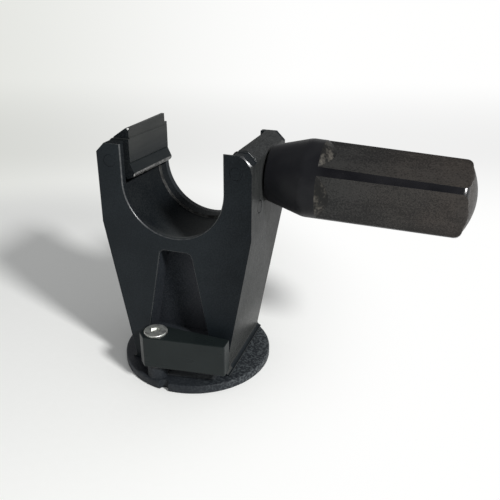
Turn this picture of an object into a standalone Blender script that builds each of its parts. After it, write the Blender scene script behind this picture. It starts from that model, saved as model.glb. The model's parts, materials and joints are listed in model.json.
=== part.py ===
"""Cradle stand for a spool hub.

A round flange carries a yoke built as a sandwich: a front cheek and a rear cheek on a thick core.
The hub drops into the U between the arms. A sprung rocker clip in the left arm snaps over it, and
a side grip screwed through the right arm presses a pad against it. A lever turns on a boss in front.
The origin is on the ground under the centre of the flange: +X to the grip, +Y to the rear, +Z up.
"""
import math

import bmesh
import bpy
from mathutils import Matrix, Vector

MM = 0.001

# Clearance left between pieces that touch
GAP = 0.3 * MM

# Base flange
FLANGE_RADIUS = 35.0 * MM
FLANGE_THICKNESS = 4.2 * MM
FLANGE_ROUND = 0.6 * MM
NOTCH_RADIUS = 2.4 * MM
NOTCH_ANGLE = math.radians(-93.5)
BASE_SCREW_X = 14.0 * MM
BASE_SCREW_Y = 12.0 * MM
BASE_SCREW_RADIUS = 1.7 * MM
BASE_SCREW_HEAD_RADIUS = 3.4 * MM
BASE_SCREW_HEAD_HEIGHT = 1.9 * MM
BASE_SCREW_SINK = 0.3 * MM
BASE_SCREW_GRIP = 10.5 * MM

# Yoke: rises are measured up from its foot, which stands on the flange, and drops down from the top
# of its arms
YOKE_FRONT = -21.1 * MM
YOKE_DEPTH = 46.5 * MM
FRONT_CHEEK_THICKNESS = 6.1 * MM
REAR_CHEEK_THICKNESS = 3.2 * MM
CHEEK_EDGE = 0.5 * MM
FOOT_HALF_WIDTH = 22.4 * MM
FOOT_FLARE = 1.8 * MM
FOOT_LIP = 0.6 * MM
SHOULDER_RISE = 67.8 * MM
ARM_RISE = 102.5 * MM
ARM_CHAMFER = 3.8 * MM
LEFT_ARM_WALL = 3.8 * MM
RIGHT_ARM_WALL = 7.8 * MM
CORE_RISE = 0.6 * MM

# Cradle: the front lip, the wider rear lip and the trough between them
CRADLE_X = -0.4 * MM
CRADLE_DROP = 15.9 * MM
CRADLE_RADIUS = 22.4 * MM
REAR_CRADLE_LOWER = 1.8 * MM
REAR_CRADLE_STEP = 1.4 * MM
TROUGH_STEP = 1.6 * MM
REAR_RIB = 4.4 * MM
LIP_THICKNESS = 2.5 * MM
LIP_HEIGHT = 1.9 * MM
LEAD_IN_LIP = 1.0 * MM
LEAD_IN_DROP = 3.6 * MM

# Tapered recess in the front of the yoke
RECESS_BRIDGE = 6.2 * MM
RECESS_BOTTOM_RISE = 15.5 * MM
RECESS_TOP_HALF = 7.0 * MM
RECESS_BOTTOM_HALF = 14.8 * MM
RECESS_CORNER = 2.5 * MM
RECESS_DEPTH = 9.5 * MM

# Pins, plugs and screws that hold the sandwich together
PIN_RADIUS = 2.6 * MM
PIN_BEHIND_LIP = 5.35 * MM
PIN_INSET = 6.25 * MM
PIN_DROP = 7.3 * MM
SIDE_PLUG_LENGTH = 7.0 * MM
SIDE_PLUG_Y = -10.8 * MM
SIDE_PLUG_DROP = 23.2 * MM
CHEEK_SCREW_RADIUS = 1.5 * MM
CHEEK_SCREW_HEAD_RADIUS = 2.75 * MM
CHEEK_SCREW_HEAD_HEIGHT = 1.6 * MM
CHEEK_SCREW_BITE = 4.0 * MM
UPPER_SCREW_X = 23.0 * MM
UPPER_SCREW_DROP = 41.0 * MM
LOWER_SCREW_INSET = 2.6 * MM
LOWER_SCREW_RISE = 8.5 * MM

# Rocker clip: drops are measured down from the axis of its pin
CLIP_FRONT_PLAY = 0.4 * MM
CLIP_REAR_PLAY = 0.6 * MM
CLIP_PROUD = 0.5 * MM
CLIP_THICKNESS = 2.6 * MM
TAB_RISE = 4.8 * MM
TAB_STEP = 0.5 * MM
TAB_INSET = 1.3 * MM
TAB_TOP = 1.4 * MM
HOOD_RISE = 0.9 * MM
LIP_REACH = 1.7 * MM
LIP_NOSE = 0.9 * MM
CREASE_DROP = 3.2 * MM
CREASE_DEPTH = 0.4 * MM
LIP_TIP_DROP = 7.7 * MM
LIP_BOTTOM_DROP = 10.1 * MM
BARREL_RADIUS = 3.9 * MM
STOP_RISE = 4.9 * MM
POCKET_DROP = 12.1 * MM
SPRING_DROP = 6.5 * MM
SPRING_RADIUS = 2.0 * MM
SPRING_WIRE_RADIUS = 0.3 * MM
SPRING_TURNS = 5
SPRING_SEAT_DEPTH = 1.6 * MM

# Side grip and the clamp screw that it turns: lengths run along its axis, which dips to the far end
GRIP_Y = 2.9 * MM
GRIP_DROP = 12.65 * MM
GRIP_TILT = math.radians(1.8)
GRIP_LENGTH = 78.8 * MM
GRIP_RADIUS = 16.25 * MM
GRIP_END_RADIUS = 15.4 * MM
GRIP_END_ROUND = 2.6 * MM
GRIP_CROWN = 3.4 * MM
GRIP_ROLL = 0.8 * MM
NECK_END_RADIUS = 12.0 * MM
NECK_LENGTH = 16.0 * MM
FLAT_START = 22.0 * MM
FLAT_NEAR = 12.7 * MM
FLAT_FAR = 11.75 * MM
FLAT_RUNOUT = 5.0 * MM
FLAT_TURN = math.radians(16.5)
FLAT_COUNT = 4
STUD_RADIUS = 3.0 * MM
STUD_GROOVE = 0.7 * MM
INSERT_RADIUS = 5.0 * MM
INSERT_LENGTH = 23.0 * MM
BUSH_RADIUS = 6.0 * MM
BUSH_STEP = 0.8 * MM
BUSH_INSET = 1.4 * MM
BUSH_SHOULDER = 4.0 * MM
CLAMP_TRAVEL = 3.0 * MM
PAD_RADIUS = 7.0 * MM
PAD_THICKNESS = 3.0 * MM
PAD_SOCKET = 1.8 * MM
FACING_THICKNESS = 1.5 * MM
RETAINER_RADIUS = 4.8 * MM
RETAINER_THICKNESS = 0.6 * MM

# Lock lever on its boss
LEVER_X = -7.4 * MM
LEVER_STANDOFF = 2.0 * MM
LEVER_HUB_RADIUS = 5.9 * MM
LEVER_HEEL = 0.55 * MM
LEVER_HEEL_CHAMFER = 3.25 * MM
LEVER_REACH = 33.0 * MM
LEVER_TIP_OFFSET = 1.35 * MM
LEVER_TIP_HALF = 3.15 * MM
LEVER_TIP_ROUND = 0.7 * MM
LEVER_HEIGHT = 15.0 * MM
LEVER_EDGE = 0.5 * MM
BOSS_RADIUS = 4.6 * MM
BOSS_HEIGHT = 5.9 * MM
WASHER_RADIUS = 5.0 * MM
WASHER_THICKNESS = 0.6 * MM
SLEEVE_RADIUS = 4.1 * MM
LEVER_SCREW_RADIUS = 3.0 * MM
LEVER_SCREW_HEAD_RADIUS = 5.2 * MM
LEVER_SCREW_HEAD_HEIGHT = 1.8 * MM
LEVER_SCREW_SINK = 1.0 * MM
LEVER_SCREW_FLOOR = 1.2 * MM
SOCKET_ACROSS = 4.0 * MM
SOCKET_DEPTH = 1.0 * MM

# Places that follow from the sizes above
FOOT = FLANGE_THICKNESS + GAP
YOKE_REAR = YOKE_FRONT + YOKE_DEPTH
YOKE_MIDDLE = YOKE_FRONT + YOKE_DEPTH / 2
CORE_FRONT = YOKE_FRONT + FRONT_CHEEK_THICKNESS + GAP
CORE_REAR = YOKE_REAR - REAR_CHEEK_THICKNESS - GAP
ARM_TOP = FOOT + ARM_RISE
CRADLE_Z = ARM_TOP - CRADLE_DROP
REAR_CRADLE_Z = CRADLE_Z - REAR_CRADLE_LOWER
REAR_CRADLE_RADIUS = CRADLE_RADIUS + REAR_CRADLE_STEP
TROUGH_RADIUS = REAR_CRADLE_RADIUS + TROUGH_STEP
TROUGH_REAR = CORE_REAR - REAR_RIB
RECESS_TOP = CRADLE_Z - CRADLE_RADIUS - RECESS_BRIDGE
RECESS_BOTTOM = FOOT + RECESS_BOTTOM_RISE
PIN_SPREAD = CRADLE_RADIUS + PIN_BEHIND_LIP
PIN_Z = ARM_TOP - PIN_DROP
ARM_HALF_WIDTH = PIN_SPREAD + PIN_INSET
CLIP_FRONT = YOKE_FRONT + FRONT_CHEEK_THICKNESS + CLIP_FRONT_PLAY
CLIP_REAR = YOKE_REAR - REAR_CHEEK_THICKNESS - CLIP_REAR_PLAY
CLIP_AXIS = Vector((CRADLE_X - PIN_SPREAD, (CLIP_FRONT + CLIP_REAR) / 2, PIN_Z))
PLUG_X = CRADLE_X + PIN_SPREAD
SIDE_PLUG_Z = ARM_TOP - SIDE_PLUG_DROP
UPPER_SCREW = (UPPER_SCREW_X, ARM_TOP - UPPER_SCREW_DROP)
LOWER_SCREW = (FOOT_HALF_WIDTH - LOWER_SCREW_INSET, FOOT + LOWER_SCREW_RISE)
CHEEK_SCREWS = [(side * x, z) for x, z in (UPPER_SCREW, LOWER_SCREW) for side in (-1, 1)]
BASE_SCREWS = [
    (x, YOKE_MIDDLE + y) for x in (-BASE_SCREW_X, BASE_SCREW_X) for y in (-BASE_SCREW_Y, BASE_SCREW_Y)
]
GRIP_ORIGIN = Vector((ARM_HALF_WIDTH, GRIP_Y, ARM_TOP - GRIP_DROP))
GRIP_NECK = GAP + NECK_END_RADIUS * math.sin(GRIP_TILT)
PAD_WALL = -RIGHT_ARM_WALL
PAD_BACK = PAD_WALL - GAP - CLAMP_TRAVEL - PAD_RADIUS * math.sin(GRIP_TILT)
LEVER_Y = YOKE_FRONT - LEVER_STANDOFF - LEVER_HUB_RADIUS
BOSS_TOP = FLANGE_THICKNESS + BOSS_HEIGHT
LEVER_BOTTOM = BOSS_TOP + GAP + WASHER_THICKNESS + GAP
LEVER_TOP = LEVER_BOTTOM + LEVER_HEIGHT
LEVER_AXIS = Vector((LEVER_X, LEVER_Y, LEVER_BOTTOM))

# Rotations that lay an object's own Z along a world axis
ALONG_X = (0, math.radians(90), 0)
ALONG_Y = (math.radians(90), 0, 0)
ALONG_Z = (0, 0, 0)
ALONG_GRIP = (0, math.radians(90) + GRIP_TILT, 0)

# Cutters run past what they cut by this much
PAST = 2.0 * MM


def empty_scene():
    """Remove whatever the scene holds and return the collections for the parts and the cutters."""
    for obj in list(bpy.data.objects):
        bpy.data.objects.remove(obj, do_unlink=True)
    collections = []
    for name in ("spool_hub_stand", "cutters"):
        collection = bpy.data.collections.new(name)
        bpy.context.scene.collection.children.link(collection)
        collections.append(collection)
    return collections


def finish(name, colour, roughness, metallic=0.0):
    """Make a Principled material."""
    material = bpy.data.materials.new(name)
    material.use_nodes = True
    shader = material.node_tree.nodes["Principled BSDF"]
    shader.inputs["Base Color"].default_value = (*colour, 1.0)
    shader.inputs["Roughness"].default_value = roughness
    shader.inputs["Metallic"].default_value = metallic
    return material


PARTS, CUTTERS = empty_scene()
TEXTURED_BLACK = finish("textured_black", (0.020, 0.022, 0.026), 0.55)
GLOSS_BLACK = finish("gloss_black", (0.024, 0.026, 0.026), 0.25)
GRIP_BLACK = finish("grip_black", (0.022, 0.020, 0.019), 0.35)
COATED_STEEL = finish("coated_steel", (0.022, 0.024, 0.026), 0.6)
BRIGHT_STEEL = finish("bright_steel", (0.62, 0.62, 0.60), 0.3, 1.0)
BRASS = finish("brass", (0.60, 0.45, 0.20), 0.35, 1.0)
RUBBER = finish("rubber", (0.015, 0.015, 0.015), 0.85)


def adopt(obj, collection, material=None):
    """Put an object in one collection only and give it a material."""
    for other in list(obj.users_collection):
        other.objects.unlink(obj)
    collection.objects.link(obj)
    if material:
        obj.data.materials.clear()
        obj.data.materials.append(material)
    if collection == CUTTERS:
        obj.hide_render = True
        obj.display_type = 'WIRE'
    return obj


def arc(centre, radius, start, end, steps):
    """Points along an arc, with its angles in degrees."""
    points = []
    for step in range(steps + 1):
        angle = math.radians(start + (end - start) * step / steps)
        points.append((centre[0] + radius * math.cos(angle), centre[1] + radius * math.sin(angle)))
    return points


def circle(centre, radius, steps=24):
    """Points once round a circle."""
    return arc(centre, radius, 0, 360, steps)[:-1]


def evaluated_mesh(obj):
    """The mesh of an object with its modifiers, or of a filled curve."""
    bpy.context.view_layer.update()
    graph = bpy.context.evaluated_depsgraph_get()
    return bpy.data.meshes.new_from_object(obj.evaluated_get(graph))


def extruded(name, outlines, thickness, location, rotation, collection, material=None, edge=0.0):
    """A flat outline, with any holes as further outlines, given a thickness and broken edges."""
    curve = bpy.data.curves.new(name, 'CURVE')
    curve.dimensions = '2D'
    curve.fill_mode = 'BOTH'
    curve.extrude = thickness / 2 - edge
    curve.bevel_depth = edge
    curve.bevel_resolution = 0
    curve.offset = -edge
    for outline in outlines:
        spline = curve.splines.new('POLY')
        spline.points.add(len(outline) - 1)
        for point, (x, y) in zip(spline.points, outline):
            point.co = (x, y, 0, 1)
        spline.use_cyclic_u = True
    flat = bpy.data.objects.new(name + "_outline", curve)
    bpy.context.scene.collection.objects.link(flat)
    mesh = evaluated_mesh(flat)
    bpy.data.objects.remove(flat, do_unlink=True)
    work = bmesh.new()
    work.from_mesh(mesh)
    bmesh.ops.remove_doubles(work, verts=work.verts, dist=1e-7)
    bmesh.ops.recalc_face_normals(work, faces=work.faces)
    work.to_mesh(mesh)
    work.free()
    mesh.name = name
    obj = bpy.data.objects.new(name, mesh)
    obj.location = location
    obj.rotation_euler = rotation
    return adopt(obj, collection, material)


def upright(name, outlines, front, rear, collection, material=None, edge=0.0):
    """An outline in X and Z that runs from front to rear."""
    middle = (0, (front + rear) / 2, 0)
    return extruded(name, outlines, rear - front, middle, ALONG_Y, collection, material, edge)


def rod(name, radius, start, end, centre, axis, collection, material=None, sides=32):
    """A cylinder along one world axis from start to end; centre gives its other two coordinates."""
    places = {'X': ((start + end) / 2, *centre), 'Y': (centre[0], (start + end) / 2, centre[1]),
              'Z': (*centre, (start + end) / 2)}
    turns = {'X': ALONG_X, 'Y': ALONG_Y, 'Z': ALONG_Z}
    bpy.ops.mesh.primitive_cylinder_add(vertices=sides, radius=radius, depth=end - start,
                                        location=places[axis], rotation=turns[axis])
    obj = bpy.context.object
    obj.name = name
    obj.data.name = name
    obj.data.shade_smooth()
    obj.data.set_sharp_from_angle(angle=math.radians(30))
    return adopt(obj, collection, material)


def turned(name, profile, location, rotation, collection, material=None, steps=40, closed=False):
    """A profile of radius and height, listed from the top down its outer side, turned about Z."""
    mesh = bpy.data.meshes.new(name)
    edges = [(i, i + 1) for i in range(len(profile) - 1)]
    if closed:
        edges.append((len(profile) - 1, 0))
    mesh.from_pydata([(radius, 0, height) for radius, height in profile], edges, [])
    obj = bpy.data.objects.new(name, mesh)
    obj.location = location
    obj.rotation_euler = rotation
    screw = obj.modifiers.new("turn", 'SCREW')
    screw.steps = steps
    screw.render_steps = steps
    screw.use_merge_vertices = True
    screw.merge_threshold = 1e-6
    screw.use_smooth_shade = True
    return adopt(obj, collection, material)


def ring(name, inner, outer, start, end, location, rotation, collection, material=None):
    """A plain sleeve or washer."""
    profile = [(inner, end), (outer, end), (outer, start), (inner, start)]
    return turned(name, profile, location, rotation, collection, material, closed=True)


def combine(target, other, operation):
    """Add a Boolean step to a piece."""
    step = target.modifiers.new(other.name, 'BOOLEAN')
    step.operation = operation
    step.solver = 'EXACT'
    step.object = other


def cut(target, *cutters):
    """Take cutters away from a piece."""
    for cutter in cutters:
        combine(target, cutter, 'DIFFERENCE')


def gathered(name, source, places):
    """One cutter that holds a copy of the source's shape at each place; the source goes."""
    mesh = evaluated_mesh(source)
    base = source.matrix_world.copy()
    work = bmesh.new()
    for place in places:
        copy = mesh.copy()
        copy.transform(Matrix.Translation(place) @ base)
        work.from_mesh(copy)
        bpy.data.meshes.remove(copy)
    joined = bpy.data.meshes.new(name)
    work.to_mesh(joined)
    work.free()
    bpy.data.objects.remove(source, do_unlink=True)
    return adopt(bpy.data.objects.new(name, joined), CUTTERS)


def joint_axis(name, place):
    """An empty on a joint's axis."""
    empty = bpy.data.objects.new(name, None)
    empty.empty_display_size = 5 * MM
    empty.location = place
    PARTS.objects.link(empty)
    bpy.context.view_layer.update()
    return empty


def hang(empty, *pieces):
    """Make pieces children of a joint's empty where they stand."""
    bpy.context.view_layer.update()
    for piece in pieces:
        piece.parent = empty
        piece.matrix_parent_inverse = empty.matrix_world.inverted()


def half_side(top, chamfer):
    """The right outer edge of the yoke from its flared foot to its chamfered top."""
    flare_centre = (FOOT_HALF_WIDTH + FOOT_FLARE, FOOT + FOOT_LIP + FOOT_FLARE)
    points = [(FOOT_HALF_WIDTH + FOOT_FLARE, FOOT)]
    points += arc(flare_centre, FOOT_FLARE, 270, 180, 4)
    points += [(ARM_HALF_WIDTH, FOOT + SHOULDER_RISE), (ARM_HALF_WIDTH, top - chamfer),
               (ARM_HALF_WIDTH - chamfer, top)]
    return points


def yoke_outline(top, cradle_z, radius):
    """The yoke's outline in X and Z with its U."""
    right = half_side(top, ARM_CHAMFER)
    left = [(-x, z) for x, z in reversed(right)]
    u_shape = [(CRADLE_X + radius, top)]
    u_shape += arc((CRADLE_X, cradle_z), radius, 0, -180, 36)
    u_shape += [(CRADLE_X - radius, top)]
    return right + u_shape + left


def recess_outline(grow):
    """The tapered recess, with rounded upper corners, grown on all sides."""
    top = RECESS_TOP + grow
    bottom = RECESS_BOTTOM - grow
    slope = (RECESS_BOTTOM_HALF - RECESS_TOP_HALF) / (RECESS_TOP - RECESS_BOTTOM)
    lean = math.degrees(math.atan(slope))
    corner_x = RECESS_TOP_HALF + grow + slope * RECESS_CORNER - RECESS_CORNER
    right = arc((corner_x, top - RECESS_CORNER), RECESS_CORNER, 90, lean, 6)
    right.append((RECESS_BOTTOM_HALF + grow, bottom))
    return [(-x, z) for x, z in right] + right[::-1]


def make_flange():
    """The round foot with its rim notch, its lever boss and the countersunk holes."""
    flange = turned("base_flange", [
        (0, FLANGE_THICKNESS), (FLANGE_RADIUS - FLANGE_ROUND, FLANGE_THICKNESS),
        (FLANGE_RADIUS, FLANGE_THICKNESS - FLANGE_ROUND), (FLANGE_RADIUS, FLANGE_ROUND),
        (FLANGE_RADIUS - FLANGE_ROUND, 0), (0, 0)], (0, 0, 0), ALONG_Z, PARTS, COATED_STEEL, steps=72)
    boss = rod("boss_blank", BOSS_RADIUS, FLANGE_THICKNESS / 2, BOSS_TOP, (LEVER_X, LEVER_Y), 'Z', CUTTERS)
    combine(flange, boss, 'UNION')
    notch_place = (FLANGE_RADIUS * math.cos(NOTCH_ANGLE), FLANGE_RADIUS * math.sin(NOTCH_ANGLE))
    notch = rod("notch_cutter", NOTCH_RADIUS, -PAST, FLANGE_THICKNESS + PAST, notch_place, 'Z', CUTTERS,
                sides=20)
    bore = rod("lever_bore_cutter", LEVER_SCREW_RADIUS + GAP, LEVER_SCREW_FLOOR, BOSS_TOP + PAST,
               (LEVER_X, LEVER_Y), 'Z', CUTTERS, sides=24)
    sink_radius = BASE_SCREW_HEAD_RADIUS + GAP
    sink_top = BASE_SCREW_SINK + BASE_SCREW_HEAD_HEIGHT + GAP
    sink = turned("countersink_blank", [
        (0, FLANGE_THICKNESS + PAST), (BASE_SCREW_RADIUS + GAP, FLANGE_THICKNESS + PAST),
        (BASE_SCREW_RADIUS + GAP, sink_top), (sink_radius, BASE_SCREW_SINK), (sink_radius, -PAST),
        (0, -PAST)], (0, 0, 0), ALONG_Z, CUTTERS, steps=20)
    sinks = gathered("countersink_cutter", sink, [(x, y, 0) for x, y in BASE_SCREWS])
    cut(flange, notch, bore, sinks)


def make_base_screws():
    """Countersunk screws up through the flange into the core."""
    top = FOOT + BASE_SCREW_GRIP - GAP
    head_top = BASE_SCREW_SINK + BASE_SCREW_HEAD_HEIGHT
    profile = [(0, top), (BASE_SCREW_RADIUS, top), (BASE_SCREW_RADIUS, head_top),
               (BASE_SCREW_HEAD_RADIUS, BASE_SCREW_SINK), (0, BASE_SCREW_SINK)]
    for index, (x, y) in enumerate(BASE_SCREWS, 1):
        turned("base_screw_%d" % index, profile, (x, y, 0), ALONG_Z, PARTS, BRIGHT_STEEL, steps=20)


def make_core():
    """The thick middle of the yoke: trough, clip pocket, recess floor and every bore."""
    top = ARM_TOP + CORE_RISE
    holes = [circle(place, CHEEK_SCREW_RADIUS + GAP, 16) for place in CHEEK_SCREWS]
    core = upright("core_frame", [yoke_outline(top, REAR_CRADLE_Z, REAR_CRADLE_RADIUS)] + holes,
                   CORE_FRONT, CORE_REAR, PARTS, TEXTURED_BLACK)
    trough = [(CRADLE_X + TROUGH_RADIUS, top + PAST)]
    trough += arc((CRADLE_X, REAR_CRADLE_Z), TROUGH_RADIUS, 0, -180, 36)
    trough += [(CRADLE_X - TROUGH_RADIUS, top + PAST)]
    trough_cutter = upright("trough_cutter", [trough], CORE_FRONT - PAST, TROUGH_REAR, CUTTERS)
    wall = LEFT_ARM_WALL - ARM_HALF_WIDTH
    block = ARM_HALF_WIDTH - RIGHT_ARM_WALL
    floor = PIN_Z - POCKET_DROP
    pocket = [(wall, floor), (block, floor), (block, top + PAST), (wall, top + PAST)]
    pocket_cutter = upright("pocket_cutter", [pocket], CORE_FRONT - PAST, CORE_REAR + PAST, CUTTERS)
    barrel_cutter = rod("barrel_cutter", BARREL_RADIUS + GAP, CORE_FRONT - PAST, CORE_REAR + PAST,
                        (CLIP_AXIS.x, CLIP_AXIS.z), 'Y', CUTTERS)
    recess_cutter = upright("recess_cutter", [recess_outline(GAP)], CORE_FRONT - PAST,
                            YOKE_FRONT + RECESS_DEPTH, CUTTERS)
    plug = rod("side_plug_cutter", PIN_RADIUS + GAP, ARM_HALF_WIDTH - SIDE_PLUG_LENGTH - GAP,
               ARM_HALF_WIDTH + PAST, (SIDE_PLUG_Y, SIDE_PLUG_Z), 'X', CUTTERS, sides=24)
    bush_hole = BUSH_RADIUS + GAP
    bush = turned("bush_cutter", [
        (0, PAST), (bush_hole - BUSH_STEP, PAST), (bush_hole - BUSH_STEP, -BUSH_SHOULDER),
        (bush_hole, -BUSH_SHOULDER), (bush_hole, -ARM_HALF_WIDTH), (0, -ARM_HALF_WIDTH)],
        GRIP_ORIGIN, ALONG_GRIP, CUTTERS)
    seat_radius = SPRING_RADIUS + SPRING_WIRE_RADIUS + GAP
    spring_seat = rod("spring_seat_cutter", seat_radius, wall - SPRING_SEAT_DEPTH, wall + PAST,
                      (CLIP_AXIS.y, PIN_Z - SPRING_DROP), 'X', CUTTERS, sides=20)
    pilot = rod("base_pilot", BASE_SCREW_RADIUS + GAP, FOOT - PAST, FOOT + BASE_SCREW_GRIP, (0, 0), 'Z',
                CUTTERS, sides=20)
    pilots = gathered("base_pilot_cutter", pilot, [(x, y, 0) for x, y in BASE_SCREWS])
    cut(core, trough_cutter, pocket_cutter, barrel_cutter, recess_cutter, plug, bush, spring_seat, pilots)


def pin_holes():
    """The two round holes that both cheeks have at the top of their arms."""
    return [circle((x, PIN_Z), PIN_RADIUS + GAP) for x in (CLIP_AXIS.x, PLUG_X)]


def make_front_cheek():
    """The front plate: a U with a thin lip, a thinned right arm top, a tapered window, blind screw holes."""
    cheek = upright("front_cheek",
                    [yoke_outline(ARM_TOP, CRADLE_Z, CRADLE_RADIUS), recess_outline(0)] + pin_holes(),
                    YOKE_FRONT, YOKE_FRONT + FRONT_CHEEK_THICKNESS, PARTS, TEXTURED_BLACK, CHEEK_EDGE)
    inner = YOKE_FRONT + FRONT_CHEEK_THICKNESS
    blind = rod("cheek_blind_hole", CHEEK_SCREW_RADIUS + GAP, inner - CHEEK_SCREW_BITE - GAP, inner + PAST,
                (0, 0), 'Y', CUTTERS, sides=16)
    hollow = CRADLE_RADIUS + LIP_HEIGHT
    behind = [(CRADLE_X + hollow, ARM_TOP + PAST)]
    behind += arc((CRADLE_X, CRADLE_Z), hollow, 0, -180, 36)
    behind += [(CRADLE_X - hollow, ARM_TOP + PAST)]
    lip = upright("lip_cutter", [behind], YOKE_FRONT + LIP_THICKNESS, inner + PAST, CUTTERS)
    block = ARM_HALF_WIDTH - RIGHT_ARM_WALL
    ledge = ARM_TOP - LEAD_IN_DROP
    corner = [(CRADLE_X, ledge), (block, ledge), (block, ARM_TOP + PAST), (CRADLE_X, ARM_TOP + PAST)]
    lead_in = upright("lead_in_cutter", [corner], YOKE_FRONT + LEAD_IN_LIP, inner + PAST, CUTTERS)
    blinds = gathered("cheek_blind_cutter", blind, [(x, 0, z) for x, z in CHEEK_SCREWS])
    cut(cheek, lip, lead_in, blinds)


def make_rear_cheek():
    """The rear plate with its wider U and counterbored screw holes."""
    holes = [circle(place, CHEEK_SCREW_RADIUS + GAP, 16) for place in CHEEK_SCREWS]
    cheek = upright("rear_cheek",
                    [yoke_outline(ARM_TOP, REAR_CRADLE_Z, REAR_CRADLE_RADIUS)] + pin_holes() + holes,
                    YOKE_REAR - REAR_CHEEK_THICKNESS, YOKE_REAR, PARTS, TEXTURED_BLACK, CHEEK_EDGE)
    seat = YOKE_REAR - CHEEK_SCREW_HEAD_HEIGHT - GAP
    bore = rod("cheek_counterbore", CHEEK_SCREW_HEAD_RADIUS + GAP, seat, YOKE_REAR + PAST, (0, 0), 'Y',
               CUTTERS, sides=20)
    cut(cheek, gathered("cheek_counterbore_cutter", bore, [(x, 0, z) for x, z in CHEEK_SCREWS]))


def make_cheek_screws():
    """Long screws from the rear through the core into the front cheek."""
    tip = YOKE_FRONT + FRONT_CHEEK_THICKNESS - CHEEK_SCREW_BITE
    seat = YOKE_REAR - CHEEK_SCREW_HEAD_HEIGHT
    profile = [(0, -tip), (CHEEK_SCREW_RADIUS, -tip), (CHEEK_SCREW_RADIUS, -seat),
               (CHEEK_SCREW_HEAD_RADIUS, -seat), (CHEEK_SCREW_HEAD_RADIUS, -YOKE_REAR), (0, -YOKE_REAR)]
    for index, (x, z) in enumerate(CHEEK_SCREWS, 1):
        turned("cheek_screw_%d" % index, profile, (x, 0, z), ALONG_Y, PARTS, BRIGHT_STEEL, steps=20)


def make_plugs():
    """Plugs that close the unused pin holes of the right arm and the hole in its side."""
    spans = {"front_plug": (YOKE_FRONT, YOKE_FRONT + FRONT_CHEEK_THICKNESS),
             "rear_plug": (YOKE_REAR - REAR_CHEEK_THICKNESS, YOKE_REAR)}
    for name, (start, end) in spans.items():
        rod(name, PIN_RADIUS, start, end, (PLUG_X, PIN_Z), 'Y', PARTS, TEXTURED_BLACK, sides=24)
    rod("side_plug", PIN_RADIUS, ARM_HALF_WIDTH - SIDE_PLUG_LENGTH, ARM_HALF_WIDTH,
        (SIDE_PLUG_Y, SIDE_PLUG_Z), 'X', PARTS, TEXTURED_BLACK, sides=24)


def clip_outline():
    """The section of the rocker clip in X and Z: tab, sloping hood, stop, panel, crease and lip."""
    face = CRADLE_X - CRADLE_RADIUS + CLIP_PROUD
    back = face - CLIP_THICKNESS
    tab_top = ARM_TOP + TAB_RISE
    crease = PIN_Z - CREASE_DROP
    tip = PIN_Z - LIP_TIP_DROP
    bottom = PIN_Z - LIP_BOTTOM_DROP
    stop = LEFT_ARM_WALL - ARM_HALF_WIDTH + GAP
    stop_bottom = PIN_Z + STOP_RISE
    return [
        (face - TAB_STEP, tab_top), (face - TAB_STEP - TAB_TOP, tab_top), (stop, ARM_TOP + HOOD_RISE),
        (stop, stop_bottom), (back, stop_bottom), (back, bottom + LIP_NOSE), (back + LIP_NOSE, bottom),
        (face + LIP_NOSE, bottom + LIP_NOSE), (face + LIP_REACH, tip - LIP_NOSE / 2),
        (face + LIP_REACH, tip + LIP_NOSE / 2), (face, crease - CREASE_DEPTH),
        (face - CREASE_DEPTH, crease), (face, crease + CREASE_DEPTH), (face, ARM_TOP),
        (face - TAB_STEP, ARM_TOP + TAB_STEP)]


def make_clip():
    """The rocker clip on its pin, and the spring that pushes its lip into the cradle."""
    centre = (CLIP_AXIS.x, CLIP_AXIS.z)
    clip = upright("rocker_clip", [clip_outline()], CLIP_FRONT, CLIP_REAR, PARTS, GLOSS_BLACK)
    barrel = rod("barrel_blank", BARREL_RADIUS, CLIP_FRONT, CLIP_REAR, centre, 'Y', CUTTERS)
    combine(clip, barrel, 'UNION')
    bore = rod("clip_bore_cutter", PIN_RADIUS + GAP, CLIP_FRONT - PAST, CLIP_REAR + PAST, centre, 'Y',
               CUTTERS, sides=24)
    cut(clip, bore)
    left = -ARM_HALF_WIDTH - PAST
    right = CRADLE_X
    bottom = ARM_TOP + TAB_STEP
    top = ARM_TOP + TAB_RISE + PAST
    corner = [(left, bottom), (right, bottom), (right, top), (left, top)]
    corners = [upright("tab_front_cutter", [corner], CLIP_FRONT - PAST, CLIP_FRONT + TAB_INSET, CUTTERS),
               upright("tab_rear_cutter", [corner], CLIP_REAR - TAB_INSET, CLIP_REAR + PAST, CUTTERS)]
    cut(clip, *corners)
    hang(joint_axis("clip_axis", CLIP_AXIS), clip, barrel, bore, *corners)
    rod("clip_pin", PIN_RADIUS, YOKE_FRONT, YOKE_REAR, centre, 'Y', PARTS, BRIGHT_STEEL, sides=24)


def make_clip_spring():
    """A short coil spring between the pocket wall and the back of the clip."""
    wall = LEFT_ARM_WALL - ARM_HALF_WIDTH
    clip_back = CRADLE_X - CRADLE_RADIUS + CLIP_PROUD - CLIP_THICKNESS
    start = wall - SPRING_SEAT_DEPTH + GAP + SPRING_WIRE_RADIUS
    length = clip_back - GAP - SPRING_WIRE_RADIUS - start
    per_turn = 10
    count = SPRING_TURNS * per_turn
    curve = bpy.data.curves.new("clip_spring", 'CURVE')
    curve.dimensions = '3D'
    curve.bevel_depth = SPRING_WIRE_RADIUS
    curve.bevel_resolution = 1
    curve.use_fill_caps = True
    spline = curve.splines.new('POLY')
    spline.points.add(count)
    for index, point in enumerate(spline.points):
        angle = 2 * math.pi * index / per_turn
        across = SPRING_RADIUS * math.cos(angle)
        point.co = (length * index / count, across, SPRING_RADIUS * math.sin(angle), 1)
    spring = bpy.data.objects.new("clip_spring", curve)
    spring.location = (start, CLIP_AXIS.y, PIN_Z - SPRING_DROP)
    print("clip_spring: least gap between turns, mm:",
          round((length / SPRING_TURNS - 2 * SPRING_WIRE_RADIUS) / MM, 2))
    adopt(spring, PARTS, BRIGHT_STEEL)


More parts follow.
